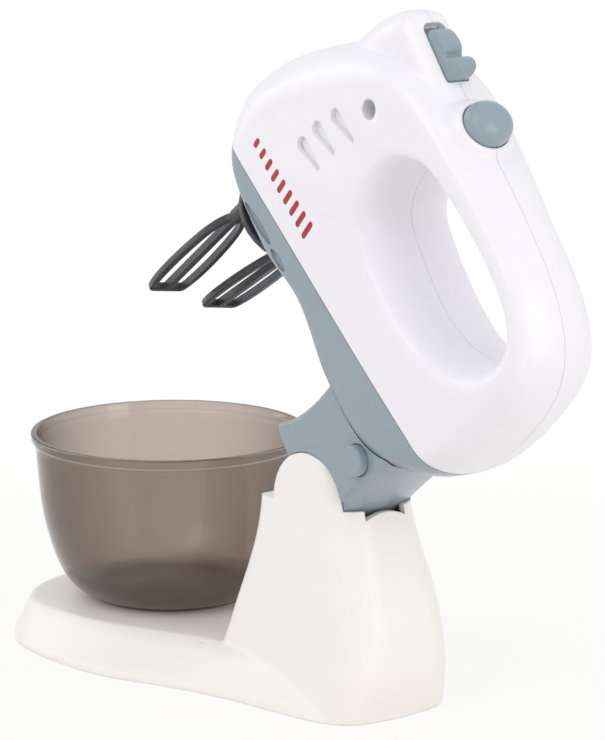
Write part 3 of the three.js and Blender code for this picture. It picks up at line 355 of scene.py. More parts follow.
# the nodes of one material, or of the world
class Sheet:
    def __init__(self, owner):
        self.owner = owner
        owner.use_nodes = True
        self.tree = owner.node_tree
        self.tree.nodes.clear()

    def node(self, kind, settings=None, sockets=None, output=0):
        made = self.tree.nodes.new(kind)
        for key, value in (settings or {}).items():
            setattr(made, key, value)
        for key, value in (sockets or {}).items():
            if isinstance(value, Strand):
                self.tree.links.new(value.socket, made.inputs[key])
            else:
                made.inputs[key].default_value = value
        return Strand(self, made.outputs[output] if len(made.outputs) else None)

    def spot(self):  # object coordinates, in metres
        return self.node("ShaderNodeTexCoord", output="Object")

    def noise(self, where, scale, detail, rough):
        return self.node("ShaderNodeTexNoise", None, {
            "Vector": where, "Scale": scale, "Detail": detail, "Roughness": rough})

    def split(self, vector):
        first = self.node("ShaderNodeSeparateXYZ", None, {0: vector})
        return [Strand(self, out) for out in first.socket.node.outputs]

    def blend(self, factor, first, second):
        return self.node("ShaderNodeMix", {"data_type": "RGBA"}, {0: factor, 6: first, 7: second}, 2)

    def vary(self, factor, colour, low, high):
        return self.blend(factor, shade(colour, low), shade(colour, high))

    def ray(self, kind):
        return self.node("ShaderNodeLightPath", output=kind)

    def mix(self, factor, first, second):
        return self.node("ShaderNodeMixShader", None, {0: factor, 1: first, 2: second})

    def bump(self, height, strength, distance, soft=None):
        sockets = {"Strength": strength, "Distance": distance, "Height": height}
        return self.node("ShaderNodeBump", None, dict(sockets, Normal=soft) if soft else sockets)

    def surface(self, base, rough, relief, others):
        return self.node("ShaderNodeBsdfPrincipled", None, dict({
            "Base Color": base, "Roughness": rough, "Normal": relief}, **others))

    def finish(self, shader, kind="ShaderNodeOutputMaterial"):
        self.node(kind, None, {0: shader})
        return self.owner


def materialSheet(name):
    return Sheet(bpy.data.materials.new(name))


def tone(red, green, blue):  # a colour as a screen shows it, 0 to 255, turned into linear light
    shares = [part / 255 for part in (red, green, blue)]
    return (*[share / 12.92 if share <= 0.04045 else ((share + 0.055) / 1.055) ** 2.4
              for share in shares], 1)


def shade(colour, factor):
    return (*[min(1, part * factor) for part in colour[:3]], 1)


# moulded plastic has faint flow marks, a fine grain, hazy patches and softened rims
def mouldedPlastic(look, extra=None):
    sheet = materialSheet(look["name"])
    where = sheet.spot()
    flow = sheet.noise(where, look["flowScale"], 4, 0.55)
    patch = sheet.noise(where, look["patchScale"], 2, 0.5)
    grain = sheet.noise(where, look["grainScale"], 2, 0.6)
    base = sheet.vary(flow.over(0.5, 0.22), look["colour"], 1 - look["mottle"], 1 + look["mottle"])
    haze = patch.over(0.52, 0.2)
    rough = look["roughness"] + (haze - 0.5) * look["haze"] + (grain - 0.5) * look["haze"]
    if extra:
        base, rough = extra(sheet, base, rough)
    soft = sheet.node("ShaderNodeBevel", {"samples": 4}, {"Radius": look["rim"]})
    relief = sheet.bump(grain + 0.6 * flow, look["grain"], 0.0002, soft)
    return sheet.finish(sheet.surface(base, rough, relief, {
        "IOR": 1.5, "Specular IOR Level": look["shine"], "Coat Weight": look["coat"],
        "Coat Roughness": 0.12, "Subsurface Weight": look["depth"],
        "Subsurface Radius": (0.004, 0.004, 0.004), "Subsurface Scale": 0.4}))


plastics = {
    "white_shell": {
        "name": "housingWhite", "colour": tone(238, 237, 243), "mottle": 0.008, "roughness": 0.3,
        "haze": 0.07, "flowScale": 22, "patchScale": 45, "grainScale": 2600, "grain": 0.06,
        "rim": 0.0006, "shine": 0.5, "coat": 0.12, "depth": 0.05},
    "stand_white": {
        "name": "standWhite", "colour": tone(243, 240, 237), "mottle": 0.01, "roughness": 0.36,
        "haze": 0.08, "flowScale": 16, "patchScale": 38, "grainScale": 2200, "grain": 0.08,
        "rim": 0.0008, "shine": 0.45, "coat": 0.05, "depth": 0.05},
    "blue_grey": {
        "name": "blueGrey", "colour": tone(143, 157, 167), "mottle": 0.025, "roughness": 0.3,
        "haze": 0.08, "flowScale": 26, "patchScale": 60, "grainScale": 2400, "grain": 0.07,
        "rim": 0.0006, "shine": 0.5, "coat": 0.25, "depth": 0},
    "dark_grey": {
        "name": "darkGrey", "colour": tone(60, 60, 67), "mottle": 0.06, "roughness": 0.32,
        "haze": 0.1, "flowScale": 40, "patchScale": 90, "grainScale": 2200, "grain": 0.12,
        "rim": 0.0004, "shine": 0.5, "coat": 0, "depth": 0},
    "inner_white": {
        "name": "innerWhite", "colour": tone(226, 225, 219), "mottle": 0.02, "roughness": 0.5,
        "haze": 0.1, "flowScale": 30, "patchScale": 70, "grainScale": 2000, "grain": 0.12,
        "rim": 0.0003, "shine": 0.4, "coat": 0, "depth": 0},
    "cell_skin": {
        "name": "cellSkin", "colour": tone(120, 140, 132), "mottle": 0.05, "roughness": 0.35,
        "haze": 0.1, "flowScale": 50, "patchScale": 90, "grainScale": 1800, "grain": 0.05,
        "rim": 0.0003, "shine": 0.5, "coat": 0, "depth": 0},
}
smokedLook = {
    "name": "smokedClear", "colour": (0.525, 0.45, 0.4, 1), "roughness": 0.07, "clear": 1,
    # painted shade seen edge on: its colour, strength and fall-off stand in for the longer path through
    # the tinted wall
    "edgeShadeColour": (0.115, 0.088, 0.072, 1), "edge": 0.9, "edgePower": 1.35,
    "shadow": (0.62, 0.57, 0.53, 1),
}
steelLook = {"name": "platedSteel", "colour": tone(196, 198, 202), "roughness": 0.24, "lines": 0.18}

scale = {  # the printed row of graduated bars on the near side, in the closed head's frame
    "start": (-131, 57.6), "end": (-83, 67.2), "bars": 9, "width": 1.25, "edge": 0.12,
    "short": 1, "long": 3.2, "colour": tone(166, 18, 30), "gloss": 0.1, "nearSide": -14,
}


def printScale(sheet, base, rough):
    x, y, z = sheet.split(sheet.spot())
    x = (x - hinge[0] * mm) * 1000
    z = (z - hinge[2] * mm) * 1000
    along = x * cos(openAngle) - z * sin(openAngle) - scale["start"][0]
    up = x * sin(openAngle) + z * cos(openAngle) - scale["start"][1]
    run, rise = [end - start for start, end in zip(scale["start"], scale["end"])]
    length = hypot(run, rise)
    run, rise = run / length, rise / length
    across = along * run + up * rise
    above = abs(up * run - along * rise)
    pitch = length / scale["bars"]
    share = across / pitch
    number = share.floor()
    beside = abs((share - number - 0.5) * pitch)
    growth = (scale["long"] - scale["short"]) / (scale["bars"] - 1)
    past = (above - (scale["short"] + number * growth)).most(0)
    distance = (beside * beside + past * past) ** 0.5
    mask = distance.under(scale["width"], scale["edge"]) * across.over(0, 0.01)
    mask = mask * across.under(length, 0.01) * (y * 1000).under(scale["nearSide"], 0.5)
    return sheet.blend(mask, base, scale["colour"]), rough + scale["gloss"] * mask


# clear tinted plastic, with painted shade where it is seen edge on that stands in for the longer path
# through the tinted wall, and with a light shadow
def smokedPlastic(look):
    sheet = materialSheet(look["name"])
    where = sheet.spot()
    flow = sheet.noise(where, 18, 4, 0.5)
    fine = sheet.noise(where, 1500, 2, 0.5)
    rough = look["roughness"] + 0.05 * flow.over(0.55, 0.15) + 0.02 * fine
    base = sheet.vary(flow.over(0.5, 0.25), look["colour"], 0.985, 1.015)
    relief = sheet.bump(flow + 0.05 * fine, 0.06, 0.0006)
    body = sheet.surface(base, rough, relief, {
        "IOR": 1.46, "Specular IOR Level": 0.15, "Transmission Weight": look["clear"],
        "Coat Weight": 0.05, "Coat Roughness": 0.05})
    # painted shade: this dark surface is mixed in towards the edges, where the bowl is seen edge on
    rim = sheet.surface(look["edgeShadeColour"], rough, relief, {"Specular IOR Level": 0.3})
    edge = sheet.node("ShaderNodeLayerWeight", None, {"Blend": 0.5}, "Facing")
    body = sheet.mix(look["edge"] * edge ** look["edgePower"], body, rim)
    shadow = sheet.node("ShaderNodeBsdfTransparent", None, {0: look["shadow"]})
    return sheet.finish(sheet.mix(sheet.ray("Is Shadow Ray"), body, shadow))


def brushedSteel(look):  # plated steel with fine turning lines
    sheet = materialSheet(look["name"])
    where = sheet.spot()
    drawn = sheet.node("ShaderNodeVectorMath", {"operation": "MULTIPLY"}, {0: where, 1: (1, 1, 6)})
    lines = sheet.noise(drawn, 900, 2, 0.6)
    stain = sheet.noise(where, 60, 3, 0.5)
    base = sheet.vary(stain.over(0.5, 0.2), look["colour"], 0.92, 1.05)
    rough = look["roughness"] + look["lines"] * lines
    return sheet.finish(sheet.surface(base, rough, sheet.bump(lines, 0.15, 0.0001), {"Metallic": 1}))


finishes = {slot: mouldedPlastic(look) for slot, look in plastics.items()}
finishes.update(smoked=smokedPlastic(smokedLook), steel=brushedSteel(steelLook))
printedWhite = mouldedPlastic(dict(plastics["white_shell"], name="housingWhitePrinted"), printScale)
print("materials made")

slotOf = {part["node"]: part["material_slot"] for part in frame["record"]["subparts"]}
for name, node in frame["nodes"].items():
    node.data.materials.clear()
    node.data.materials.append(finishes[slotOf[name]])
    for face in node.data.polygons:
        face.use_smooth = True
    node.data.set_sharp_from_angle(angle=radians(32))


# places, dresses and names a piece, which then stands for a node and rides on its body
def mount(piece, name, node, body, slot, matrix=asHead, sharp=38, material=None):
    place(piece, matrix, sharp)
    piece.name = name
    piece.data.materials.clear()
    piece.data.materials.append(material or finishes[slot])
    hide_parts(node)
    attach(piece, body)
    return piece


mixer = {
    "length": 180, "height": 121, "halfWidth": 23, "nose": 153.5, "bottom": 34.5, "wall": 2.2,
    "fullness": 2.3, "splitRise": 0.213, "splitAtHinge": 71.8, "voxel": 0.9, "relax": 16,
    "seam": 0.015,
}
# outer edge along and up, hole edge along and up, half width, roundings of the outer and hole edge
bodyRibs = [
    (0.478, 0.05, 0.522, 0.504, 1, 0.28, 0.36), (0.32, 0, 0.456, 0.525, 1, 0.2, 0.38),
    (0.11, 0, 0.417, 0.595, 1, 0.34, 0.38), (0.004, 0.13, 0.403, 0.669, 0.97, 0.9, 0.38),
    (0.002, 0.336, 0.406, 0.726, 0.96, 1.1, 0.38), (0.044, 0.53, 0.419, 0.78, 0.97, 1.1, 0.4),
    (0.105, 0.71, 0.444, 0.825, 0.96, 1, 0.4), (0.194, 0.86, 0.478, 0.855, 0.92, 0.8, 0.4),
    (0.305, 0.935, 0.533, 0.868, 0.86, 0.64, 0.34), (0.472, 0.975, 0.611, 0.872, 0.78, 0.59, 0.3),
    (0.628, 0.99, 0.711, 0.877, 0.745, 0.59, 0.3), (0.778, 0.985, 0.794, 0.872, 0.76, 0.6, 0.3),
    (0.889, 0.935, 0.839, 0.842, 0.8, 0.64, 0.34), (0.953, 0.845, 0.858, 0.794, 0.85, 0.66, 0.38),
    (0.986, 0.72, 0.856, 0.72, 0.88, 0.7, 0.38), (1, 0.557, 0.831, 0.64, 0.92, 0.7, 0.38),
    (0.994, 0.377, 0.783, 0.57, 0.95, 0.65, 0.38), (0.944, 0.204, 0.722, 0.525, 0.97, 0.55, 0.36),
    (0.839, 0.066, 0.656, 0.504, 0.99, 0.46, 0.36), (0.667, 0.026, 0.589, 0.5, 1, 0.36, 0.36),
]


# the outside of the mixer as a ring round the handle hole, moved in by inset
def bodyLoft(inset, stations=160, edgeSteps=12, sideSteps=5):
    points = []
    power = 2 / mixer["fullness"]

    def at(x, z):
        x, z = x * mixer["length"] - mixer["nose"], z * mixer["height"] + mixer["bottom"]
        return Vector((x, 0, z))

    for i in range(stations):
        row = through(bodyRibs, i / stations)
        start, end = at(row[0], row[1]), at(row[2], row[3])
        inward = (end - start).normalized()
        span = (end - start).length - 2 * inset
        start = start + inward * inset
        half = row[4] * mixer["halfWidth"] - inset
        outer = max(row[5] * mixer["halfWidth"] - inset, mixer["wall"])
        inner = max(row[6] * mixer["halfWidth"] + inset, mixer["wall"])
        fit = min(1, 0.94 * span / (outer + inner))
        outer, inner = outer * fit, inner * fit
        turn = [k / edgeSteps * pi / 2 for k in range(edgeSteps + 1)]
        edge = [(1 - abs(cos(t)) ** power, half * sin(t) ** power) for t in turn]
        near = [(outer * d, y) for d, y in edge]
        flat = span - outer - inner
        near += [(outer + flat * k / (sideSteps + 1), half) for k in range(1, sideSteps + 1)]
        near += [(span - inner * d, y) for d, y in reversed(edge)]
        points += [start + inward * d - Vector((0, y, 0)) for d, y in bothSides(near)]
    return solid("mixerLoft", points, net(stations, len(points) // stations, True))


def splitHeight(x):
    return mixer["splitAtHinge"] + mixer["splitRise"] * x


def underSplit(offset, low=-20, past=20, across=60):
    left, right = -mixer["nose"] - past, mixer["length"]
    outline = [(left, low), (right, low), (right, splitHeight(right) + offset),
               (left, splitHeight(left) + offset)]
    return prism(outline, -across, across, "Y")


hump = {"half": 12, "rounding": 9, "front": -0.892 * mixer["nose"], "top": 150.5}
boost = {
    "x": -78, "halfLength": 9, "halfWidth": 10, "rise": 7, "seat": 155.6, "dish": 15, "sink": 1.5,
    "thumb": (1.5, 2.2), "bore": 11, "drop": 8.36, "flange": (1.06, 0.8), "power": 0.9,
    "voxel": 0.4, "relax": 3,
    # share of the button's size, and fall below its seat in walls
    "collar": [(0, 3.4), (1.62, 3.4), (1.48, 2.4), (1.34, 1.5), (1.24, 0.7), (1.16, 0.3), (0, 0.3)],
}


def humpSolid():
    front, top = hump["front"], hump["top"]
    outline = [(-0.71 * mixer["nose"], 0.8 * top), (front, 0.73 * top)]
    outline += bend([outline[-1], (1.02 * front, 0.87 * top), (0.985 * front, 0.98 * top),
                     (0.93 * front, top)], 14)
    outline += [(0.68 * front, 1.004 * top), (0.53 * front, 0.98 * top)]
    return slab(outline, -hump["half"], hump["half"], hump["rounding"])


def boostCollar():
    profile = [(share, boost["seat"] - fall * mixer["wall"]) for share, fall in boost["collar"]]
    return lathe(profile, 72, (boost["halfLength"], boost["halfWidth"]), (boost["x"], 0))


skin = fuse(bodyLoft(0), humpSolid(), boostCollar())
soften(skin, mixer["voxel"], mixer["relax"])
print("mixer skin:", len(skin.data.vertices), "points")
shell = cut(copyOf(skin, "mixerShell"), bodyLoft(mixer["wall"], 110, 5, 2))

screwSpot = {
    "at": (-104.5, 124.3), "seat": 10.4, "boss": 5, "bossReach": 22, "counterbore": 3.8,
    "hole": 1.7, "holeReach": 14, "dimple": 0.35, "flat": 110, "dimpleRoom": (10, 4),
}
reach = screwSpot["bossReach"]
boss = disc(*screwSpot["at"], -reach, reach, screwSpot["boss"], "Y", 48)
fuse(shell, common(boss, skin, keep=True))
lowerScrew = {
    "spots": [(-0.3 * mixer["nose"], -0.5 * mixer["halfWidth"]),
              (0.02 * mixer["nose"], 0.4 * mixer["halfWidth"])],
    "foot": 30, "web": 7, "head": 3.1,
}
for x, y in lowerScrew["spots"]:
    tube = disc(x, y, lowerScrew["foot"], splitHeight(x) - 2 * gap, screwSpot["boss"], "Z", 40)
    fuse(shell, common(tube, skin, keep=True))

# low, high and radius; along, across and up
turretSpot = {"x": -109.5, "bearing": (35.6, 38.9, 19.2), "bore": (0, 41.1, 17.65)}
catchSlot = (-4.5, 1.7, -17.7, -12, 36, 58)
lower = common(copyOf(shell, "lowerHousingSkin"), underSplit(-gap / 2))
bearing = disc(turretSpot["x"], 0, *turretSpot["bearing"], "Z")
fuse(lower, common(bearing, skin, keep=True))
cut(lower, disc(turretSpot["x"], 0, *turretSpot["bore"], "Z", 96))
for x, y in lowerScrew["spots"]:
    seat = splitHeight(x) - 2 * gap - lowerScrew["web"]
    cut(lower, disc(x, y, 0, 100, screwSpot["hole"], "Z", 24),
        disc(x, y, 0, seat, lowerScrew["head"], "Z", 40))
cut(lower, block(*catchSlot))
scallop = {
    "spots": [(-102.8, 40.8, 11.5), (-85.2, 43.6, 6)],  # along, up, half length
    "across": 22.3, "slope": atan(0.228), "tilt": radians(35), "deep": 1.5, "tall": 2.1,
}
for side in (-1, 1):
    for x, z, reach in scallop["spots"]:
        spot = Matrix.Translation((x, side * scallop["across"], z))
        spot = spot @ Matrix.Rotation(-scallop["slope"], 4, "Y")
        spot = spot @ Matrix.Rotation(side * scallop["tilt"], 4, "X")
        size = Matrix.Diagonal((reach, scallop["deep"], scallop["tall"], 1))
        cut(lower, moved(ball(1, 80, 8, 40), spot @ size))

upper = cut(copyOf(shell, "upperShell"), underSplit(gap / 2))
vent = {
    "run": 12.4, "fall": 3.4, "wide": 2.9, "narrow": 0.8, "depth": 2.1, "skin": 1,
    "tips": [(-101.5, 86), (-101.8, 96.95), (-100, 109.4)],
    "backings": [(-122, -90, -24, -15, 80, 116), (-122, -90, 15, 24, 80, 116)],
}
for backing in vent["backings"]:
    fuse(upper, common(block(*backing), bodyLoft(vent["skin"], 80, 5, 2)))
lean = degrees(atan2(vent["fall"], vent["run"]))
for x, z in vent["tips"]:
    outline = arc(x - vent["run"], z - vent["fall"], vent["wide"], 90 + lean, 270 + lean, 16)
    outline += arc(x, z, vent["narrow"], lean - 90, lean + 90, 8)
    groove = prism(outline, -40, 40, "Y")
    cut(groove, bodyLoft(vent["depth"], 120, 6, 2))
    cut(upper, groove)

slider = {
    "x": -110, "length": 22, "half": 5, "travel": 3, "height": 11, "floor": 147.5, "corner": 3.2,
    "rearCorner": 1, "rounding": 1.1, "taper": 0.14, "taperFrom": 2, "taperOver": 7, "voxel": 0.32,
    "relax": 9, "base": 1.6, "stem": (6.1, 1.67), "plate": (7.9, 5),  # half length and half width
    "lip": (0.6, 2.75),  # start and end, from the front of the mouth
    "lipRoom": (4.2, 3.5), "slotRoom": (2.65, 4.4),  # half width and depth
}


def sliderMouth():
    front = slider["x"] - slider["length"] / 2 - slider["travel"]
    rear = slider["x"] + slider["length"] / 2 + gap
    reach, floor = slider["half"] + gap, slider["floor"]
    corner, small = slider["corner"], slider["rearCorner"]
    outline = arc(front + corner, corner - reach, corner, 270, 180, 8)
    outline += arc(front + corner, reach - corner, corner, 180, 90, 8)
    outline += arc(rear - small, reach - small, small, 90, 0, 5)
    outline += arc(rear - small, small - reach, small, 0, -90, 5)
    (start, end), (lip, low), (slot, deep) = slider["lip"], slider["lipRoom"], slider["slotRoom"]
    return [prism(outline, floor, 200, "Z"),
            block(front + start, front + end, -lip, lip, floor - low, floor + 2),
            block(front + end, rear - end, -slot, slot, floor - deep, floor + 2)]


cut(upper, *sliderMouth())
oval = arc(boost["x"], 0, boost["halfLength"] + gap, 0, 358, 89, boost["halfWidth"] + gap)
cut(upper, prism(oval, boost["seat"] - boost["bore"], 200, "Z"))
x, z = screwSpot["at"]
spot, normal = skin.closest_point_on_mesh((x, -30, z))[1:3]
wide, high = screwSpot["dimpleRoom"]
profile = [(r, r * r / screwSpot["flat"] - screwSpot["dimple"]) for r in range(wide + 1)]
dimple = lathe(profile + [(wide, high), (0, high)], 72)
moved(dimple, Matrix.Translation(spot) @ normal.to_track_quat("Z", "Y").to_matrix().to_4x4())
reach = screwSpot["holeReach"]
cut(upper, dimple, disc(x, z, -40, -screwSpot["seat"], screwSpot["counterbore"], "Y", 48),
    disc(x, z, -reach, reach, screwSpot["hole"], "Y", 24))

cell = {
    "x": -37, "offset": 8, "pitch": 11, "radius": 5.25, "length": 44.5, "margin": 1.8, "screw": -30,
    "head": 2.8, "deep": 46, "rise": atan(mixer["splitRise"]),
}
cell["z"] = splitHeight(cell["x"]) + (cell["offset"] + cell["pitch"] / 2) / cos(cell["rise"])
asDoor = Matrix.Translation((cell["x"], 0, cell["z"])) @ Matrix.Rotation(-cell["rise"], 4, "Y")


# what parts the battery door from the far half, laid along the split
def doorBlock(margin):
    half = cell["pitch"] / 2 + cell["radius"] + cell["margin"] + margin
    start = cell["screw"] - cell["head"] - cell["margin"] - margin
    end = cell["length"] / 2 + cell["margin"] + margin
    turn = 2 * cell["margin"]
    outline = [(start, -half), (end, -half), (end, half), (start + turn, half)]
    outline += bend([outline[-1], (start, half), (start, half - turn)], 10)
    return moved(prism(outline, 0, cell["deep"], "Y"), asDoor)


near = common(copyOf(upper, "housingNear"), block(-200, 200, -90, -mixer["seam"], -50, 300))
far = common(copyOf(upper, "housingFar"), block(-200, 200, mixer["seam"], 90, -50, 300))
door = common(copyOf(far, "batteryDoor"), doorBlock(-gap))
cut(far, doorBlock(0))
cut(door, moved(disc(cell["screw"], 0, 0, cell["deep"], screwSpot["hole"], "Y", 24), asDoor))
for spare in (skin, shell, upper):
    drop(spare)
mount(near, "housingNear", "housing_left", "mixer", "white_shell", material=printedWhite)
mount(far, "housingFar", "housing_right", "mixer", "white_shell")
mount(lower, "lowerHousingSkin", "lower_housing", "mixer", "blue_grey")
mount(door, "batteryDoor", "battery_door", "mixer", "white_shell")
print("mixer made")


def sliderSolid():
    floor, half, corner = slider["floor"] + gap, slider["half"], slider["corner"]
    front, rear = slider["x"] - slider["length"] / 2, slider["x"] + slider["length"] / 2

    def at(along, up):
        return (slider["x"] + along * slider["length"], floor + up * slider["height"])

    outline = [at(-0.5, 0), at(0.5, 0), at(0.5, 0.6)]
    for pull, end, steps in (
            ((0.5, 1.02), (0.35, 1.02), 10), ((0.21, 1), (0.14, 0.58), 10),
            ((0.1, 0.46), (0.05, 0.58), 6), ((-0.02, 0.76), (-0.16, 0.72), 10),
            ((-0.47, 0.64), (-0.5, 0.16), 12)):
        outline += bend([outline[-1], at(*pull), at(*end)], steps)
    plan = arc(front + corner, corner - half, corner, 270, 180, 10)
    plan += arc(front + corner, half - corner, corner, 180, 90, 10)
    plan += [(front + 60, half), (front + 60, -half)]
    grip = common(slab(outline, -half, half, slider["rounding"]), prism(plan, 100, 200, "Z"))
    soften(grip, slider["voxel"], slider["relax"])
    for vert in grip.data.vertices:
        rise = min(max((vert.co.z - floor - slider["taperFrom"]) / slider["taperOver"], 0), 1)
        vert.co.y *= 1 - slider["taper"] * rise
    fuse(grip, common(block(front, rear, -half, half, floor, floor + slider["base"]),
                      prism(plan, 100, 200, "Z")))
    foot = slider["floor"] - mixer["wall"] - gap
    for (length, wide), top in ((slider["stem"], slider["floor"] + 2), (slider["plate"], foot)):
        fuse(grip, block(slider["x"] - length, slider["x"] + length, -wide, wide,
                         foot - slider["base"], top))
    return grip


def boostSolid():
    seat, rise, dish = boost["seat"], boost["rise"], boost["dish"]
    foot = seat - boost["drop"]
    wide, thick = boost["flange"]
    dome = [(cos(radians(a)) ** boost["power"],
             seat + rise * sin(radians(a)) ** boost["power"]) for a in range(0, 90, 5)]
    profile = [(0, foot), (wide, foot), (wide, foot + thick), (1, foot + thick)] + dome
    button = lathe(profile + [(0, seat + rise)], 96, (boost["halfLength"], boost["halfWidth"]),
                   (boost["x"], 0))
    along, across = boost["thumb"]
    spot = (boost["x"] + along, across, seat + rise + dish - boost["sink"])
    thumb = moved(ball(dish, 87, 3, 96), Matrix.Translation(spot))
    return soften(cut(button, thumb), boost["voxel"], boost["relax"])


mount(sliderSolid(), "speedSlider", "speed_slider", "slider", "blue_grey", sharp=40)
mount(boostSolid(), "boostButton", "boost_button", "boost", "blue_grey", sharp=50)

beater = {
    "reach": 14.2, "bearing": radians(50), "lean": radians(6), "turn": radians(82),
    "tip": 73.8, "loop": 62.5, "half": 10, "bar": 2.6, "depth": 3.1, "mount": 27.3, "edge": 0.8,
    "corner": 2.2, "collar": 3.2, "overlap": 1.6,  # of the collar and the loop, in bars
    "swell": [(0, 0), (0.5, 0), (0.9, 1.5), (1, 3.5)],  # share of the collar, height over its foot
    "stem": [(3.2, -1.6), (2.8, -1.1), (2.5, -1), (2.5, 8.7)],  # radius and height
}


def loopOutline(inset):
    tip, half = beater["tip"], beater["half"] - inset
    foot, top = inset - tip, beater["loop"] - tip - 1.2 * inset
    tipHalf = 0.8 * beater["half"] - inset / 2
    corner = max(beater["corner"] - inset, 0.4)

    def at(share):
        return between(foot, top, share)

    side = [(tipHalf - corner, foot)]
    side += bend([side[0], (tipHalf, foot), (tipHalf + 0.25 * corner, foot + corner)], 6)
    side += bend([side[-1], (1.08 * half, at(0.14)), (1.1 * half, at(0.45)),
                  (0.9 * half, at(0.72))], 16)
    side += bend([side[-1], (0.74 * half, at(0.95)), (0.2 * half, top)], 12)
    return side


def beaterSolid():
    depth, rod = beater["depth"] / 2, beater["bar"] / 2
    outer, inner = loopOutline(0), loopOutline(beater["bar"])
    piece = slab(outer + [(-a, b) for a, b in reversed(outer)], -depth, depth, beater["edge"])
    window = [(rod, inner[0][1])] + [(max(a, rod), b) for a, b in inner] + [(rod, inner[-1][1])]
    clean = [window[0]]
    for point in window[1:]:
        if dist(point, clean[-1]) > 0.05:
            clean.append(point)
    for side in (1, -1):
        cut(piece, prism([(side * a, b) for a, b in clean], -5, 5, "Y"))
    low = beater["loop"] - beater["tip"] - beater["overlap"] * beater["bar"]
    profile = [(share * beater["collar"], low + rise) for share, rise in beater["swell"]]
    profile += beater["stem"] + [(0, beater["stem"][-1][1])]
    return fuse(piece, lathe(profile, 40))


for name, side, node, body in (("rearBeater", 1, "beater_1", "rear_beater"),
                               ("frontBeater", -1, "beater_2", "front_beater")):
    along, across = cos(beater["bearing"]), sin(beater["bearing"])
    spot = Matrix.Translation((turretSpot["x"] + side * beater["reach"] * along,
                               side * beater["reach"] * across, beater["mount"]))
    lean = Matrix.Rotation(beater["lean"] if side > 0 else 0, 4, "Y")
    turn = Matrix.Rotation(beater["turn"], 4, "Z")
    mount(beaterSolid(), name, node, body, "dark_grey", asHead @ spot @ lean @ turn, 35)
print("controls and beaters made")

bowl = {
    "radius": 58, "height": 69.7, "foot": 16.3, "wall": 1.6, "lip": 1.6, "lipWidth": 1.9, "round": 0.8,
    "floor": 2.2, "innerRise": 0.6,  # in walls
    "ring": [(26, 1.6), (27, 0.9), (27.6, 0), (33, 0), (34, 0.5)],  # radius, height over the foot
    # radius and height of the side, as shares
    "side": [(0.598, 0.023), (0.66, 0.045), (0.745, 0.11), (0.82, 0.22), (0.883, 0.38),
             (0.932, 0.58), (0.968, 0.93)],
    "neck": [(0.9, 2.4), (0.25, 1.9)],  # in from the rim, and below its top in lips
}


def bowlSolid():
    wall, foot, radius, small = bowl["wall"], bowl["foot"], bowl["radius"], bowl["round"]
    top, floor = foot + bowl["height"], foot + bowl["floor"] * wall
    ring = [(r, foot + up) for r, up in bowl["ring"]]
    side = [through(bowl["side"], i / 40, False) for i in range(41)]
    outer = [(r * radius, foot + up * bowl["height"]) for r, up in side]
    inner = [(r - wall, z + wall * bowl["innerRise"]) for r, z in reversed(outer)]
    rim = [(radius - inward, top - fall * bowl["lip"]) for inward, fall in bowl["neck"]]
    rim += arc(radius - small, top - small, small, -40, 90, 8)
    rim += arc(radius - bowl["lipWidth"], top - small, small, 90, 180, 6)
    profile = [(0, ring[0][1])] + ring + outer + rim + inner + [(ring[0][0], floor), (0, floor)]
    return lathe(profile, 160)


mount(bowlSolid(), "mixingBowl", "bowl", "bowl", "smoked", asStand, 60)
print("bowl made")

stand = {
    "platform": 16, "front": 57, "rear": 154, "half": 66, "wall": 2.4, "footFront": 70,
    "topFront": 89.5, "topRear": 143, "bulge": 15, "footHalf": 29, "topHalf": 20.5,
    "frontRadius": 3, "rearRadius": 15, "ear": 21, "earThickness": 4, "ledge": 79.2,
    "rearLedge": 80.9, "notchLow": 77.2, "notchBow": 82, "notchHalf": 9.6, "above": 130,
    "trunnion": 4.8, "trunnionDepth": 2.9, "voxel": 0.85, "relax": 2,
    "boss": (3.7, 14.8, 4.6), "bossHole": (-2, 11.2, 1.55),  # low, high and radius
    "bossShares": ((-0.55, 1.14), (-0.42, 0.42)),  # of the front and of the half width
}
# foot along, foot half width, top along, top half width, height of the top edge
baseRows = [
    (0, 0, 0.02, 0, 1), (0.015, 0.4, 0.03, 0.3, 1), (0.05, 0.66, 0.055, 0.52, 1),
    (0.1, 0.84, 0.1, 0.7, 1), (0.17, 0.96, 0.16, 0.81, 1), (0.25, 1, 0.26, 0.8, 1),
    (0.336, 1, 0.36, 0.74, 1), (0.455, 0.94, 0.47, 0.6, 1), (0.6, 0.735, 0.6, 0.425, 1),
    (0.735, 0.595, 0.735, 0.42, 0.9), (0.877, 0.505, 0.877, 0.415, 0.56),
    (0.95, 0.42, 0.945, 0.36, 0.38), (0.99, 0.22, 0.98, 0.2, 0.28), (1, 0, 0.993, 0, 0.25),
]
baseRows += [(a, -b, c, -d, e) for a, b, c, d, e in reversed(baseRows[1:-1])]
skirtRows = [(0, 0), (0.03, 0.16), (0.36, 0.46), (0.74, 0.82), (0.95, 0.965), (1, 1)]
# height, front, rear and half width of the column, from foot to top
columnRows = [
    (0, 0, 0.67, 0), (0.2, 0.1, 0.97, 0.28), (0.31, 0.24, 1, 0.41), (0.44, 0.42, 0.95, 0.53),
    (0.64, 0.73, 0.67, 0.7), (0.81, 0.92, 0.3, 0.86), (1, 1, 0, 1), (1.3, 1.02, -0.35, 1),
]


def baseLoft(inset, floor, roofDrop, steps=176, levels=22):
    length = stand["front"] + stand["rear"]
    middle = (stand["rear"] - stand["front"]) / 2
    rings = []
    for k in range(levels + 1):
        across, up = through(skirtRows, k / levels, False)
        ring = []
        for i in range(steps):
            a, b, c, d, e = through(baseRows, i / steps)
            x = between(a, c, across) * length - stand["front"] - middle
            y = -between(b, d, across) * (stand["half"] - inset)
            z = floor if k == 0 else up * (e * stand["platform"] - roofDrop)
            ring.append((middle + x * (1 - inset / (length / 2)), y, z))
        rings.append(ring)
    return mirroredLoft(rings)


def noLimit(up):
    return 99


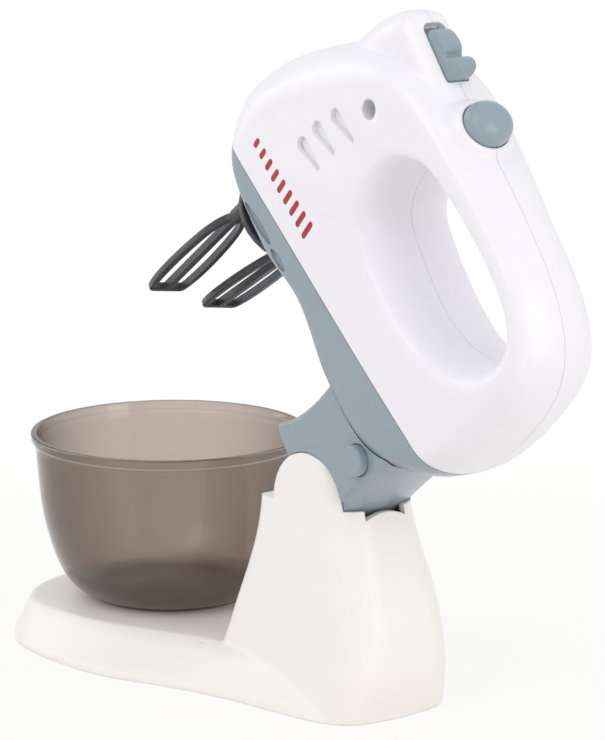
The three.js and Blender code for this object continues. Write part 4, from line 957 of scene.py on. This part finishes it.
def columnLoft(inset, limit=noLimit, levels=36):
    rings = []
    small = max(stand["frontRadius"] - inset, 1)
    big = stand["rearRadius"] - inset
    for k in range(levels + 1):
        up, frontShare, rearShare, halfShare = through(columnRows, k / levels, False)
        front = between(stand["footFront"], stand["topFront"], frontShare) + inset
        rear = stand["topRear"] + stand["bulge"] * rearShare - inset
        half = min(between(stand["footHalf"], stand["topHalf"], halfShare) - inset, limit(up))
        reach = (-2 if k == 0 else 2) if inset > 0 and k in (0, levels) else 0
        near = [(front, 0), (front, (half - small) / 2)]
        near += [(front + small * (1 - cos(t)), half - small * (1 - sin(t))) for t in quarter(6)]
        near += [(front + small + (rear - big - front - small) * i / 8, half) for i in range(1, 8)]
        near += [(rear - big * (1 - sin(t)), half - big * (1 - cos(t))) for t in quarter(14)]
        near += [(rear, (half - big) / 2)] if half - big > 1 else []
        near += [(rear, 0)]
        rings.append([(x, -y, up * hinge[2] + reach) for x, y in bothSides(near)])
    if len({len(ring) for ring in rings}) > 1:
        raise ValueError("the short straight at the rear has to be in all rings or in none")
    return mirroredLoft(rings)


def aboveLedges():
    x, z, ear, ledge, rearLedge = hinge[0], hinge[2], stand["ear"], stand["ledge"], stand["rearLedge"]
    start, end = [degrees(asin((height - z) / ear)) for height in (ledge, rearLedge)]
    outline = [(40, ledge)] + arc(x, z, ear, 180 - start, end, 48)
    outline += [(200, rearLedge), (200, z + 2 * ear), (40, z + 2 * ear)]
    return prism(outline, -90, 90, "Y")


def notchSolid(clear):
    half, low = stand["notchHalf"] - clear, stand["notchLow"] + clear
    outline = [(-half, low)] + bend([(-half, low), (0, stand["notchBow"] + clear), (half, low)], 20)
    outline += [(half, stand["above"]), (-half, stand["above"])]
    return prism(outline, hinge[0], 200, "X")


def standSolid():
    x, z, ear, wall = hinge[0], hinge[2], stand["ear"], stand["wall"]
    ledge, rearLedge, above = stand["ledge"], stand["rearLedge"], stand["above"]
    inner = stand["topHalf"] - stand["earThickness"]
    body = fuse(baseLoft(0, -4, 0), columnLoft(0))
    soften(body, stand["voxel"], stand["relax"])
    cut(body, block(-90, 190, -90, 90, -20, 0), aboveLedges(), notchSolid(0))
    cut(body, columnLoft(wall, lambda up: inner if up > 0.75 else noLimit(up)),
        baseLoft(wall, -2, wall, 96, 10))
    fuse(body, block(stand["topFront"] + 1, x - ear - gap, -inner - 1, inner + 1, ledge - wall, ledge))
    cut(body, block(x - ear, x + 8, -inner, inner, ledge, above),
        block(x, stand["rear"], -inner, inner, rearLedge, above))
    depth = inner + stand["trunnionDepth"]
    cut(body, disc(x, z, -depth, depth, stand["trunnion"], "Y", 48))
    along, across = stand["bossShares"]
    for x, y in [(a * stand["front"], b * stand["half"]) for a in along for b in across]:
        fuse(body, disc(x, y, *stand["boss"], "Z", 32))
        cut(body, disc(x, y, *stand["bossHole"], "Z", 20))
    return body


standSkin = mount(standSolid(), "standShell", "stand_shell", "stand", "stand_white", asStand)
print("stand made:", len(standSkin.data.vertices), "points")

cradle = {
    "half": 20, "wall": 2.6, "front": 35.5, "rear": 10.2, "rounding": 1.6, "groove": 0.32,
    "foot": -10.5, "heel": 12.4, "heelLow": 12, "heelTop": 38, "tongue": 15, "clear": 0.3,
    "ceiling": 74.8, "plan": 5.5, "reach": 26, "pin": 4.5, "pinLength": 2.6,
    "toe": -0.5, "slope": (-21.3, -17),  # height of the underside in front; where it falls to the foot
}
release = {
    "x": -1.4, "z": 39.3, "radius": 6, "proud": 3.6, "flange": 2, "pocket": 6.3, "bevel": 0.9,
    "catchHalf": 2.5, "catchTop": 18, "travel": 2.5,
}


def cradleOutline():
    front, rear, foot = cradle["front"], cradle["reach"], cradle["foot"]
    z, toe, (start, end) = release["z"], cradle["toe"], cradle["slope"]
    outline = [(-0.96 * front, 1.2 * z)]
    outline += bend([outline[-1], (-0.8 * front, 0.5 * z), (-0.97 * front, 0.1 * z)], 24)
    outline += bend([outline[-1], (-front, toe), (-0.86 * front, toe)], 8)
    outline += [(start, toe), (end, foot), (rear, foot), (rear, 2 * z), (-front, 2 * z)]
    return outline


# seen from above: square in front and rounded at the rear, which swells towards the heel
def cradlePlan():
    start, half, low = cradle["plan"], cradle["half"], cradle["heelLow"]
    height = cradle["heelTop"] - low
    rings = []
    for z in [-80] + [low + height * i / 24 for i in range(25)] + [120]:
        rise = min(max((z - low) / height, 0), 1)
        rear = between(cradle["rear"], cradle["heel"], (1 - rise) ** 2)
        near = [(-80, 0), (-80, half / 2), (-80, half), (-30, half)]
        near += [(between(start, rear, sin(t)), half * cos(t)) for t in quarter(44)]
        rings.append([(x, -y, z) for x, y in bothSides(near)])
    return mirroredLoft(rings)


# what the column takes up of the space of the open head, in the frame of the head
def underStand(inner):
    room = columnLoft(stand["wall"] + cradle["clear"], lambda up: inner)
    body = cut(block(0, 290, -290, 290, 0, stand["rearLedge"] + cradle["clear"]), room)
    closed = Matrix.Rotation(-openAngle, 4, "Y") @ Matrix.Translation([-c for c in hinge])
    return moved(cut(body, notchSolid(cradle["clear"])), closed)


def cradleSolid():
    half, front, wall = cradle["half"], cradle["front"], cradle["wall"]
    inner = stand["topHalf"] - stand["earThickness"] - cradle["clear"]
    room, pocket, tongue = stand["ear"] + cradle["clear"], half - wall, cradle["tongue"]
    body = common(slab(cradleOutline(), -half, half, cradle["rounding"]), cradlePlan())
    for low, high in ((-60, -inner), (inner, 60)):
        cut(body, disc(0, 0, low, high, room, "Y", 120), block(-room, room, low, high, -60, 0))
    cut(body, underStand(inner))
    cut(body, block(-0.8 * front + wall, cradle["plan"], -pocket, pocket, stand["ear"] + wall, 75),
        block(-0.75 * tongue, 0.25 * tongue, -inner + wall, inner - wall, -tongue / 4, 75))
    cut(body, bodyLoft(-cradle["groove"], 160, 8, 3), block(-90, 90, -60, 60, cradle["ceiling"], 200))
    length = cradle["pinLength"]
    for low, high in ((-inner - length, -inner + length / 2), (inner - length / 2, inner + length)):
        fuse(body, disc(0, 0, low, high, cradle["pin"], "Y", 48))
    return cut(body, disc(release["x"], release["z"], -60, -half + 2 * wall, release["pocket"], "Y"))


def releaseSolid():
    x, z, radius, bevel = release["x"], release["z"], release["radius"], release["bevel"]
    face = -cradle["half"] - release["proud"]
    back = -cradle["half"] + cradle["wall"] + cradle["clear"]
    rim = arc(radius - bevel, bevel, bevel, -90, 0, 8)
    cap = lathe([(0, 0)] + rim + [(radius, back - face), (0, back - face)], 96)
    moved(cap, Matrix.Translation((x, face, z)) @ Matrix.Rotation(radians(-90), 4, "X"))
    flange = disc(x, z, back, back + release["flange"], 1.08 * radius, "Y")
    cut(flange, block(-40, 40, -40, 0, z, z + 40))
    catch = block(x - release["catchHalf"], x + release["catchHalf"], back, back + release["flange"],
                  z - release["catchHalf"], z + release["catchTop"])
    pressed = bodyLoft(-cradle["clear"], 120, 6, 2)  # the mixer, as the pressed button meets it
    moved(pressed, Matrix.Translation((0, -release["travel"], 0)))
    return fuse(cut(cap, pressed), flange, catch)


mount(cradleSolid(), "tiltCradle", "cradle", "cradle", "blue_grey", sharp=40)
mount(releaseSolid(), "releaseButton", "release_button", "release", "blue_grey", sharp=40)

springs = [  # name, node, body, joint, travel, height, turns, start, turn, share where it stays put
    ("releaseSpring", "release_spring", "cradle", "release_press", 2.5, 13.7, 4,
     (-1.4, -14.8, 37.7), -90, 1),
    ("boostSpring", "boost_spring", "mixer", "boost_press", 2, 4.4, 3, (-78, 0, 142.51), 0, 0),
]
coil = {"radius": 3.2, "wire": 0.4, "sides": 10, "rings": 30}


def coilSolid(height, turns):
    rings, sides, wire = coil["rings"] * turns, coil["sides"], coil["wire"]
    points = []
    for i in range(rings + 1):
        a = i / rings * turns * 2 * pi
        for k in range(sides):
            b = 2 * pi * k / sides
            r = coil["radius"] + wire * cos(b)
            z = wire * (1 + sin(b)) + i / rings * (height - 2 * wire)
            points.append((r * cos(a), r * sin(a), z))
    ends = [tuple(range(sides)), tuple(rings * sides + k for k in range(sides))]
    return solid("coil", points, net(rings + 1, sides) + ends)


for name, node, body, joint, travel, height, turns, start, turn, fixed in springs:
    spot = asHead @ Matrix.Translation(start) @ Matrix.Rotation(radians(turn), 4, "X")
    piece = mount(coilSolid(height, turns), name, node, body, "steel", spot)
    along = (spot @ Vector((0, 0, 1)) - spot @ Vector((0, 0, 0))).normalized()
    still = spot @ Vector((0, 0, height * fixed))
    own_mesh(piece)
print("cradle and springs made")

room = {
    "floor": tone(240, 237, 232), "size": 6, "fadeStart": 0.14, "fadeEnd": 0.5, "lift": 0.84,
    "middle": 0.06, "ambient": 0.84, "ambientColour": (0.985, 0.985, 0.99, 1),
    "aim": (0.08, 0, 0.13),
}
lamps = [  # name, place, width, height, power, colour
    ("keyLamp", (0.4, -1.25, 1.55), 0.8, 1.4, 5.5, (1, 0.985, 0.97)),
    ("sideLamp", (-1.3, -0.75, 0.8), 0.6, 1.5, 4, (0.97, 0.985, 1)),
    ("rearLamp", (1.6, 0.15, 0.45), 1, 1.2, 5.5, (1, 0.99, 0.98)),
]


# the paper turns to plain white away from the object, and glass and gloss show that too
def makeFloor():
    sheet = materialSheet("paleFloor")
    where = sheet.spot()
    x, y, z = sheet.split(where)
    aside = x - room["middle"]
    distance = (aside * aside + y * y) ** 0.5
    grain = sheet.noise(where, 400, 2, 0.5)
    base = sheet.vary(grain.over(0.5, 0.3), room["floor"], 0.995, 1)
    paper = sheet.node("ShaderNodeBsdfPrincipled", None, {
        "Base Color": base, "Roughness": 0.7 + 0.1 * grain, "Specular IOR Level": 0.15})
    glow = sheet.node("ShaderNodeEmission", None, {0: (1, 1, 1, 1), 1: 1})
    looked = sheet.ray("Is Camera Ray").most(sheet.ray("Is Glossy Ray"))
    looked = looked.most(sheet.ray("Is Transmission Ray"))
    middle = (room["fadeStart"] + room["fadeEnd"]) / 2
    far = distance.over(middle, (room["fadeEnd"] - room["fadeStart"]) / 2)
    fade = (room["lift"] + far * (1 - room["lift"])) * looked
    half = room["size"] / 2
    corners = [(-half, -half, 0), (half, -half, 0), (half, half, 0), (-half, half, 0)]
    floor = solid("floor", corners, [(0, 1, 2, 3)])
    floor.data.materials.append(sheet.finish(sheet.mix(fade, paper, glow)))


def makeLamps():
    for name, spot, width, height, power, colour in lamps:
        data = bpy.data.lights.new(name, "AREA")
        data.shape = "RECTANGLE"
        data.size = width
        data.size_y = height
        data.energy = power
        data.color = colour
        lamp = show(name, data)
        lamp.location = spot
        aim = Vector(room["aim"]) - Vector(spot)
        lamp.rotation_euler = aim.to_track_quat("-Z", "Y").to_euler()


def makeWorld():
    sheet = Sheet(bpy.data.worlds.new("room"))
    looked = sheet.ray("Is Camera Ray").most(sheet.ray("Is Transmission Ray"))
    ambient = sheet.node("ShaderNodeBackground", None, {0: room["ambientColour"], 1: room["ambient"]})
    plain = sheet.node("ShaderNodeBackground", None, {0: (1, 1, 1, 1), 1: 1})
    mixed = sheet.mix(looked, ambient, plain)
    bpy.context.scene.world = sheet.finish(mixed, "ShaderNodeOutputWorld")


makeFloor()
makeLamps()
makeWorld()
bpy.context.scene.view_settings.view_transform = "Standard"
print("room made")
